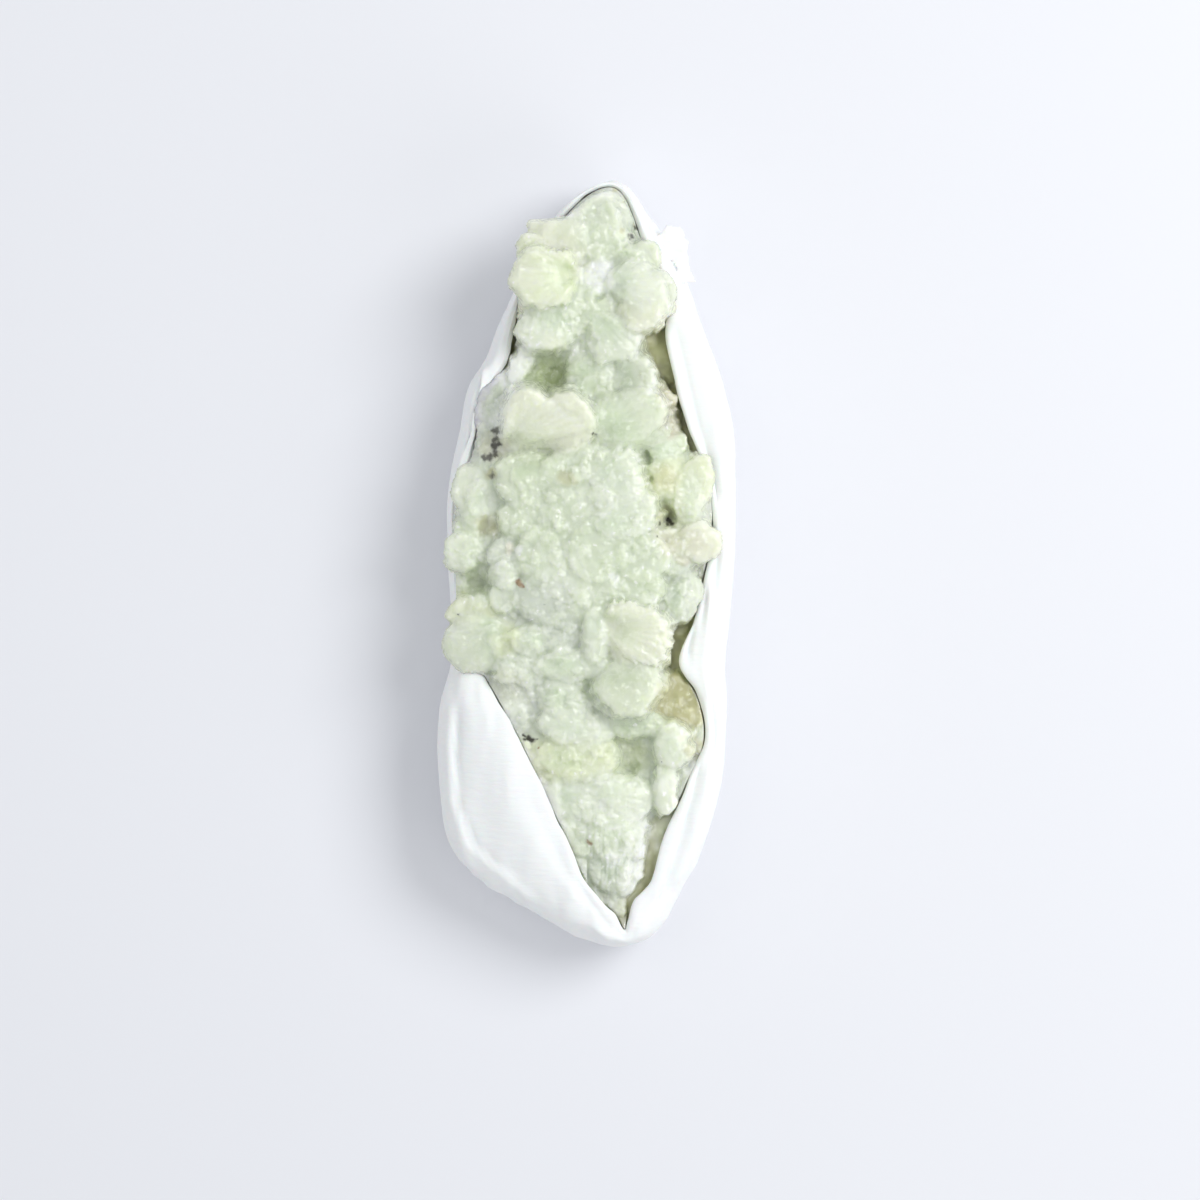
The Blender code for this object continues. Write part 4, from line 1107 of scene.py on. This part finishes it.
def lay_crystal_fans(field, even):
    """The large fans, each laid over what is below it: rounded over at the edge, and run into the rest at the sides."""
    rng = np.random.default_rng(SEED)
    for root_x, root_y, root_height, edge_height, blade, frill, tint, edge in CRYSTAL_FANS:
        root = np.array([root_x, root_y])
        part = field.window(np.array([root, *edge]), 1.0)
        share, relief, flank = fan(field.x[part], field.y[part], root, edge, blade, frill, rng)
        rise = share.clip(0, 1) ** 0.9
        cover = smoothstep(0.0, 0.4, share) * smoothstep(0.0, 0.18, flank)
        aim = root_height + (edge_height - root_height) * rise + 0.35 * np.sin(math.pi * rise)
        most = 6.0 if edge_height > BOLD_EDGE else FAN_LIFT
        lift = soft_least(aim - even[part], 0.15)
        lift = most - soft_least(most - lift, 0.0)
        turned = ((share - 0.4) / 0.6).clip(0, 1)
        fall = (EDGE_FALL - 1.5 * min(frill, 1.0)) * (1 - np.sqrt(1 - turned**2))
        evenness = min(1.2, 1.6 * frill) * (0.8 if most > FAN_LIFT else 1.0)
        height = even[part] + lift * cover - fall + relief * evenness
        old = field.height[part]
        blend = (FAN_BLEND - np.abs(old - height)).clip(0) / FAN_BLEND
        joined = np.maximum(old, height) + blend * blend * FAN_BLEND / 4
        inside = share < 1
        field.height[part] = np.where(inside, joined, old)
        shown = inside * smoothstep(-0.4, 0.1, height - old)
        mix = (0.75 * shown * cover)[..., None]
        field.tint[part] += mix * (np.array(TINTS[tint]) - field.tint[part])
        # Painted shade: each fan is darkened toward its root.
        root_shade = shown * cover * (1 - smoothstep(0.2, 0.9, share))
        field.tint[part] *= 1 - root_shade[..., None] * np.array([0.12, 0.07, 0.15])
        # The frilled edge's share, which later becomes painted light on the thin edges.
        rim = shown * cover * smoothstep(0.78, 1.0, share) * min(frill / 0.6, 1)
        field.rim[part] = field.rim[part] * (1 - shown * cover) + rim


def lay_scales(field):
    """Small fans strewn like scales over the surface, their free edges downhill."""
    rng = np.random.default_rng(SEED + 1)
    smooth = np.zeros(field.x.shape)
    for x, y, radius in SMOOTH:
        smooth = np.maximum(smooth, 1 - smoothstep(0.55, 1.1, np.hypot(field.x - x, field.y - y) / radius))
    even = blurred(field.height.clip(SHELF_HEIGHT), 1.2)
    slope_y, slope_x = np.gradient(even, CELL)
    for count, least, most, lift in SCALES:
        relief = np.full(field.x.shape, -0.3 * lift)
        places = rng.uniform((FIELD_LEFT, FIELD_LOW), (FIELD_RIGHT, FIELD_HIGH), (count * 3, 2))
        places = places[field.at(field.height, places) > SHELF_HEIGHT + 2][:count * 2]
        for root in places:
            here = field.at(slope_x, root[None])[0], field.at(slope_y, root[None])[0]
            heading = math.atan2(-here[1], -here[0]) + rng.uniform(-0.8, 0.8)
            reach = rng.uniform(least, most)
            spread = rng.uniform(0.8, 1.25)
            turns = heading + np.linspace(-spread, spread, 5)
            reaches = reach * (1 - 0.22 * np.linspace(-1, 1, 5) ** 2)
            edge = root + np.stack([np.cos(turns), np.sin(turns)], axis=1) * reaches[:, None]
            part = field.window(np.array([root, *edge]), 0.3)
            share, fine, flank = fan(field.x[part], field.y[part], root, edge, 0.45 * reach, 0.22 * reach, rng)
            domed = share.clip(0, 1) ** 1.1 * (1 - 0.75 * share.clip(0, 1) ** 5) * smoothstep(0, 0.2, flank)
            height = lift * (1.5 * domed * rng.uniform(0.5, 1.0) - 0.15) + 0.8 * fine * lift
            shown = (share < 1) & (height > relief[part])
            relief[part] = np.where(shown, height, relief[part])
            # Their free edges get the painted light of thin edges too.
            field.rim[part] = np.where(shown, 0.35 * smoothstep(0.6, 1.0, share), field.rim[part])
        field.height += relief * (1 - 0.93 * smooth) * (field.height > SHELF_HEIGHT + 1)


def rounded(height, radius):
    """The surface with its sharp edges rounded over, as by a ball rolled along under it."""
    reach = range(-int(radius / CELL), int(radius / CELL) + 1)
    ball = [(i, j, radius - math.sqrt(radius**2 - (i * i + j * j) * CELL**2))
            for i in reach for j in reach if (i * i + j * j) * CELL**2 <= radius**2]
    low = np.full(height.shape, np.inf)
    for i, j, drop in ball:
        low = np.minimum(low, np.roll(height, (i, j), (0, 1)) + drop)
    high = np.full(height.shape, -np.inf)
    for i, j, drop in ball:
        high = np.maximum(high, np.roll(low, (i, j), (0, 1)) - drop)
    return high


def round_edges(field):
    """The fans' edges rounded over, with their frills a little under the round."""
    frills = rounded(field.height, FRILL_RADIUS) - FRILL_DROP
    field.height = np.maximum(rounded(field.height, EDGE_RADIUS), frills)


def lay_skirts(field):
    """The walls below the fans' edges spread a little toward their feet."""
    present = field.height > SHELF_HEIGHT - 2
    reach = range(-int(SKIRT_REACH / CELL), int(SKIRT_REACH / CELL) + 1)
    cone = [(i, j, STEEPEST * math.hypot(i, j) * CELL) for i in reach for j in reach
            if math.hypot(i, j) * CELL <= SKIRT_REACH]
    uneven = 1 + 0.5 * field.noise(0.9, 64)
    spread = field.height
    for i, j, drop in cone:
        spread = np.maximum(spread, np.roll(field.height, (i, j), (0, 1)) - drop * uneven)
    field.height = np.where(present, spread, field.height)


def fill_valleys(field):
    """The crevices between the fans made shallower, as crystal grown together is."""
    even = blurred(field.height.clip(SHELF_HEIGHT), 0.9)
    low = (even - field.height).clip(0, 4) * (field.height > SHELF_HEIGHT + 1)
    field.height += VALLEY_FILL * low


def sink_hollows(field):
    shift = [0.8 * field.noise(1.6, 61 + k) + 0.3 * field.noise(0.7, 63 + k) for k in (0, 1)]
    for x, y, radius, deep in HOLLOWS:
        away = np.hypot(field.x + shift[0] - x, field.y + shift[1] - y) / radius
        field.height -= deep * (1 - smoothstep(0.3, 1.25, away))


def lay_grain(field):
    """The finest roughness, stronger where the stone is like sugar."""
    rough = np.full(field.x.shape, 0.20)
    for x, y, radius in SUGARY:
        rough += 0.7 * (1 - smoothstep(0.5, 1.2, np.hypot(field.x - x, field.y - y) / radius))
    grain = np.abs(field.noise(0.9, 81)) + 0.8 * np.abs(field.noise(0.45, 82))
    field.height -= 0.18 * rough.clip(0, 1) * grain
    bent = field.x + 0.9 * field.noise(3.0, 84) + 0.3 * (field.y + 50) * (field.x - 4) / 12
    places = np.stack([bent.ravel() / 0.7, field.y.ravel() / 3.4, np.zeros(field.x.size)], axis=1)
    fibres = np.abs(lattice_noise(places, 1.0, 83)).reshape(field.x.shape)
    fibrous = smoothstep(-39.0, -46.0, field.y)
    field.height -= 0.34 * fibrous * fibres


def lay_wedge(field):
    """The flat face at the lower right, a plane through its corners."""
    corners = np.array(WEDGE)
    plane = np.linalg.lstsq(np.column_stack([corners[:, :2], np.ones(4)]), corners[:, 2], rcond=None)[0]
    height = plane[0] * field.x + plane[1] * field.y + plane[2]
    inside = np.ones(field.x.shape, bool)
    for (x0, y0, _), (x1, y1, _) in zip(corners, np.roll(corners, -1, axis=0)):
        inside &= (x1 - x0) * (field.y - y0) - (y1 - y0) * (field.x - x0) < 0
    field.height = np.where(inside, height, field.height)
    field.tint = np.where(inside[..., None], np.array(TINTS["olive"]), field.tint)


def lay_shelf(field):
    """The low shelf that the stone's skirts make between the fans and the tissue."""
    outer, rim, rim_height, _, _ = outline_rows(400)
    along = unit(np.roll(outer, -1, axis=0) - np.roll(outer, 1, axis=0))
    inward = np.stack([along[:, 1], -along[:, 0]], axis=1)
    inner = (outer + SHELF_INSET * inward) * (3, 1)
    turns = np.arctan2(inner[:, 1], inner[:, 0])
    order = np.argsort(turns)
    turn = np.arctan2(field.y, field.x * 3)
    limit = np.interp(turn, turns[order], np.hypot(*inner.T)[order], period=2 * math.pi)
    inside = np.hypot(field.x * 3, field.y) < limit
    under_rim = []
    for side in (outer[:, 0] < 0, outer[:, 0] >= 0):
        up = np.argsort(outer[side, 1])
        under_rim.append(np.interp(field.y, outer[side, 1][up], rim_height[side, 0][up]) - SHELF_UNDER_RIM)
    under_rim = np.where(field.x < 0, *under_rim)
    edge = rim * (3, 1)
    turns = np.arctan2(edge[:, 1], edge[:, 0])
    order = np.argsort(turns)
    opening = np.interp(turn, turns[order], np.hypot(*edge.T)[order], period=2 * math.pi)
    past_rim = np.hypot(field.x * 3, field.y) - opening
    under_rim -= 3.0 * smoothstep(0.0, 3.0, past_rim)
    # At the upper tip the stone stays inside the rim.
    tucked = smoothstep(53.0, 54.8, field.y) * smoothstep(-1.0, -0.1, past_rim)
    field.height -= tucked * (field.height - under_rim).clip(0)
    table = np.array(SHELF)[::-1]
    left, right = (np.interp(field.y, table[:, 0], table[:, k]) for k in (1, 2))
    shelf = left + (right - left) * smoothstep(-6, 8, field.x)
    shelf = np.minimum(shelf + 0.8 * field.noise(3.0, 91) + 0.4 * field.noise(1.2, 92), under_rim)
    blend = (1.0 - np.abs(field.height - shelf)).clip(0)
    joined = np.maximum(field.height, shelf) + blend * blend / 4
    field.height = np.where(inside, joined, field.height)
    return inside


def colour_field(field):
    """Patches and specks of colour, painted shade in the recesses and the low gaps, painted light on the crests and
    frilled edges, and painted glints.
    """
    drop = blurred(field.height.clip(SHELF_HEIGHT), 3.0) - blurred(field.height.clip(SHELF_HEIGHT), 0.7)
    recess_shade = smoothstep(0.5, 3.6, drop)[..., None]
    crest = smoothstep(0.1, 1.6, -drop)[..., None]
    shift = [0.5 * field.noise(1.4, 71 + k) + 0.2 * field.noise(0.5, 73 + k) for k in (0, 1)]
    for x, y, radius, share, tint in PATCHES:
        away = np.hypot(field.x + shift[0] - x, field.y + shift[1] - y) / radius
        mix = (share * (1 - smoothstep(0.5, 1.25, away)))[..., None]
        field.tint += mix * (np.array(TINTS[tint]) - field.tint)
    field.tint *= 1 + 0.035 * field.noise(2.6, 75)[..., None] + 0.025 * field.noise(0.8, 76)[..., None]
    # Painted shade: the recesses are darkened toward a deeper green.
    field.tint *= 1 - recess_shade * (1 - np.array([0.77, 0.80, 0.62]))
    # Painted light: crests and frilled edges are lightened toward pale cream, as thin crystal is where light shines
    # through it.
    field.tint += 0.36 * crest * (np.array([0.86, 0.88, 0.77]) - field.tint)
    field.tint += 0.75 * field.rim[..., None] * (np.array([0.87, 0.90, 0.81]) - field.tint)
    field.tint *= TINT_LEVEL
    # Painted glints: small white highlights dyed into the tint, kept off the smooth places.
    rng = np.random.default_rng(SEED + 2)
    for x, y in rng.uniform((-20, -54), (18, 56), (PAINTED_GLINTS, 2)):
        if any(math.hypot(x - row[0], y - row[1]) < row[2] for row in SMOOTH):
            continue
        part = field.window(np.array([[x, y]]), 0.6)
        long, short = rng.uniform(0.2, 0.5), rng.uniform(0.1, 0.2)
        turn = rng.uniform(0, math.pi)
        along = (field.x[part] - x) * math.cos(turn) + (field.y[part] - y) * math.sin(turn)
        across = (field.y[part] - y) * math.cos(turn) - (field.x[part] - x) * math.sin(turn)
        mix = 0.8 * (1 - smoothstep(0.5, 1.1, np.hypot(along / long, across / short)))
        field.tint[part] += mix[..., None] * (0.93 - field.tint[part])
    # Painted shade: below the upper tip the low shelf beside the tissue is dyed toward olive, as the gaps there lie in
    # shadow.
    low = (smoothstep(15.0, 12.4, field.height) * smoothstep(50.0, 44.0, field.y))[..., None]
    field.tint += low * (np.array(TINTS["gap_shade"]) - field.tint)
    # On the walls the tint is evened out, and they carry no specks.
    slope = np.hypot(*np.gradient(field.height, CELL))
    level = smoothstep(4.5, 2.2, slope)
    even_tint = np.stack([blurred(field.tint[..., k], 0.9) for k in range(3)], axis=-1)
    field.tint += (0.8 * smoothstep(1.6, 3.6, slope))[..., None] * (even_tint - field.tint)
    ragged = [0.34 * field.noise(0.9, 77 + k) + 0.22 * field.noise(0.45, 79 + k) for k in (0, 1)]
    for x, y, radius, share, tint in SPECKS:
        away = np.hypot(field.x + ragged[0] - x, field.y + ragged[1] - y) / radius
        mix = (share * level * (1 - smoothstep(0.6, 1.15, away)))[..., None]
        field.tint += mix * (np.array(TINTS[tint]) - field.tint)


def stone_field():
    field = Field()
    lay_base(field)
    lay_lumps(field)
    lay_wedge(field)
    even = blurred(field.height.clip(SHELF_HEIGHT), 1.3)
    sink_hollows(field)
    lay_crystal_fans(field, even)
    fill_valleys(field)
    round_edges(field)
    lay_skirts(field)
    lay_scales(field)
    field.height = -rounded(-field.height, CREASE_RADIUS)
    lay_grain(field)
    inside = lay_shelf(field)
    colour_field(field)
    return field, inside


def stone_body(field, inside):
    """The field as a closed body: its upper surface, a plain underside, and walls where it ends."""
    rows, columns = field.x.shape
    present = field.height > SHELF_HEIGHT - 2
    cells = present[:-1, :-1] & present[1:, :-1] & present[1:, 1:] & present[:-1, 1:]
    row, column = np.nonzero(cells)
    corner_ids = [(row + a) * columns + column + b for a, b in ((0, 0), (0, 1), (1, 1), (1, 0))]
    used, index = np.unique(np.stack(corner_ids, axis=1), return_inverse=True)
    faces = index.reshape(-1, 4)
    upper = np.column_stack([field.x.ravel()[used], field.y.ravel()[used], field.height.ravel()[used]])
    floor = np.where(inside.ravel()[used], STONE_FLOOR, ROOT_HEIGHT)
    # Toward its outline the stone thins from below, as overhanging fans do.
    inward = (2 * blurred(present.astype(float), 1.2).ravel()[used] - 1).clip(0)
    lower = np.maximum(floor, upper[:, 2] - EDGE_THICKNESS - 14 * inward)
    lower = np.column_stack([upper[:, :2], np.minimum(lower, upper[:, 2] - 1.0)])
    return closed_between(upper, lower, faces)


def stone_material():
    made, tree, shader = material("Prehnite")
    tint = tree.nodes.new("ShaderNodeAttribute")
    tint.attribute_name = "Tint"
    coordinates = tree.nodes.new("ShaderNodeTexCoord")
    cloud = tree.nodes.new("ShaderNodeTexNoise")
    cloud.inputs["Scale"].default_value = 350
    cloud.inputs["Detail"].default_value = 4
    lighten = tree.nodes.new("ShaderNodeMix")
    lighten.data_type = "RGBA"
    lighten.blend_type = "SOFT_LIGHT"
    lighten.inputs["Factor"].default_value = 0.35
    tree.links.new(coordinates.outputs["Object"], cloud.inputs["Vector"])
    tree.links.new(tint.outputs["Color"], lighten.inputs["A"])
    tree.links.new(cloud.outputs["Fac"], lighten.inputs["B"])
    tree.links.new(lighten.outputs["Result"], shader.inputs["Base Color"])
    grain = tree.nodes.new("ShaderNodeTexNoise")
    grain.inputs["Scale"].default_value = 2200
    grain.inputs["Detail"].default_value = 3
    bump = tree.nodes.new("ShaderNodeBump")
    bump.inputs["Strength"].default_value = 0.35
    bump.inputs["Distance"].default_value = 0.0001
    tree.links.new(coordinates.outputs["Object"], grain.inputs["Vector"])
    tree.links.new(grain.outputs["Fac"], bump.inputs["Height"])
    tree.links.new(bump.outputs["Normal"], shader.inputs["Normal"])
    facets = tree.nodes.new("ShaderNodeTexVoronoi")
    facets.inputs["Scale"].default_value = 1700
    spread = tree.nodes.new("ShaderNodeVectorMath")
    spread.operation = "MULTIPLY_ADD"
    spread.inputs[1].default_value = (1.3, 1.3, 1.3)
    spread.inputs[2].default_value = (-0.65, -0.65, -0.65)
    geometry = tree.nodes.new("ShaderNodeNewGeometry")
    tilt = tree.nodes.new("ShaderNodeVectorMath")
    tilt.operation = "ADD"
    normal = tree.nodes.new("ShaderNodeVectorMath")
    normal.operation = "NORMALIZE"
    tree.links.new(coordinates.outputs["Object"], facets.inputs["Vector"])
    tree.links.new(facets.outputs["Color"], spread.inputs[0])
    tree.links.new(spread.outputs["Vector"], tilt.inputs[0])
    tree.links.new(geometry.outputs["Normal"], tilt.inputs[1])
    tree.links.new(tilt.outputs["Vector"], normal.inputs[0])
    tree.links.new(normal.outputs["Vector"], shader.inputs["Coat Normal"])
    shader.inputs["Coat Weight"].default_value = 0.6
    shader.inputs["Coat Roughness"].default_value = 0.08
    shader.inputs["Roughness"].default_value = 0.34
    shader.inputs["IOR"].default_value = 1.55
    shader.inputs["Specular IOR Level"].default_value = 0.5
    shader.inputs["Subsurface Weight"].default_value = 1.0
    shader.inputs["Subsurface Radius"].default_value = (1.0, 1.05, 0.75)
    shader.inputs["Subsurface Scale"].default_value = 0.0024
    return made


def build_stone():
    field, inside = stone_field()
    points, faces = stone_body(field, inside)
    stone = linked("stone_body", mesh_from_arrays("stone_body", points, faces))
    clear = stone.modifiers.new("clear of the tissue", "BOOLEAN")
    clear.operation = "DIFFERENCE"
    clear.solver = "MANIFOLD"
    clear.object = room_outside()
    cut = applied(stone, "stone_cut")
    bpy.data.objects.remove(bpy.data.objects["room_outside"])
    triangles = sum(len(p.vertices) - 2 for p in cut.polygons)
    print("stone before thinning", triangles, "triangles")
    stone = linked("prehnite_stone", cut)
    upper = smoothstep(8.0, 12.5, read_points(cut)[:, 2])
    group = stone.vertex_groups.new(name="hidden")
    for weight, chosen in ((1.0, upper < 0.5), (0.25, upper >= 0.5)):
        group.add(np.nonzero(chosen)[0].tolist(), weight, "REPLACE")
    thin = stone.modifiers.new("thin", "DECIMATE")
    thin.ratio = min(1.0, STONE_TRIANGLES / triangles)
    thin.vertex_group = "hidden"
    mesh = applied(stone, "prehnite_stone")
    mesh.shade_smooth()
    print("stone", sum(len(p.vertices) - 2 for p in mesh.polygons), "triangles")
    # The tint holds the stone's colours together with its painted shade, painted light and painted glints.
    colours = field.at(field.tint, read_points(mesh))
    layer = mesh.color_attributes.new("Tint", "FLOAT_COLOR", "POINT")
    whole = np.concatenate([colours.clip(0, 1), np.ones((len(colours), 1))], axis=1)
    layer.data.foreach_set("color", whole.astype(np.float32).ravel())
    mesh.materials.clear()
    mesh.materials.append(stone_material())
    stone = linked("prehnite_stone", mesh)
    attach(stone, "root")
    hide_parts("prehnite_plate")
    return stone


# Stage


def build_stage():
    bpy.ops.mesh.primitive_plane_add(size=2.4, location=(0, 0, -0.0002))
    floor = bpy.context.object
    floor.name = "floor"
    made, tree, shader = material("Pale floor")
    shader.inputs["Base Color"].default_value = (0.80, 0.81, 0.85, 1)
    shader.inputs["Roughness"].default_value = 0.9
    floor.data.materials.append(made)


def area_light(name, place, size, power, colour=(1, 1, 1)):
    light = bpy.data.lights.new(name, "AREA")
    light.shape = "DISK"
    light.size = size
    light.energy = power
    light.color = colour
    lamp = bpy.data.objects.new(name, light)
    bpy.context.scene.collection.objects.link(lamp)
    lamp.location = place
    lamp.rotation_euler = (-Vector(place)).to_track_quat("-Z", "Y").to_euler()
    return lamp


def build_light():
    world = bpy.data.worlds.new("Soft room")
    bpy.context.scene.world = world
    world.use_nodes = True
    background = world.node_tree.nodes["Background"]
    background.inputs["Color"].default_value = (0.96, 0.98, 1.0, 1)
    background.inputs["Strength"].default_value = 0.58
    area_light("key", (0.42, 0.22, 0.55), 0.42, 2.7)
    area_light("fill", (-0.40, 0.10, 0.60), 0.60, 0.6)
    area_light("side", (0.45, -0.40, 0.35), 0.50, 0.7)


def build_camera():
    data = bpy.data.cameras.new("camera")
    data.sensor_width = SENSOR_WIDTH
    data.lens = SENSOR_WIDTH * CAMERA_DISTANCE / VIEW_WIDTH
    data.clip_end = 10
    camera = bpy.data.objects.new("camera", data)
    bpy.context.scene.collection.objects.link(camera)
    camera.location = (VIEW_CENTRE[0] * MM, VIEW_CENTRE[1] * MM, (VIEW_HEIGHT + CAMERA_DISTANCE) * MM)
    bpy.context.scene.camera = camera


build_stone()
wrap, wrap_area = build_wrap()
build_stage()
build_light()
build_camera()
bpy.context.scene.view_settings.view_transform = "Standard"
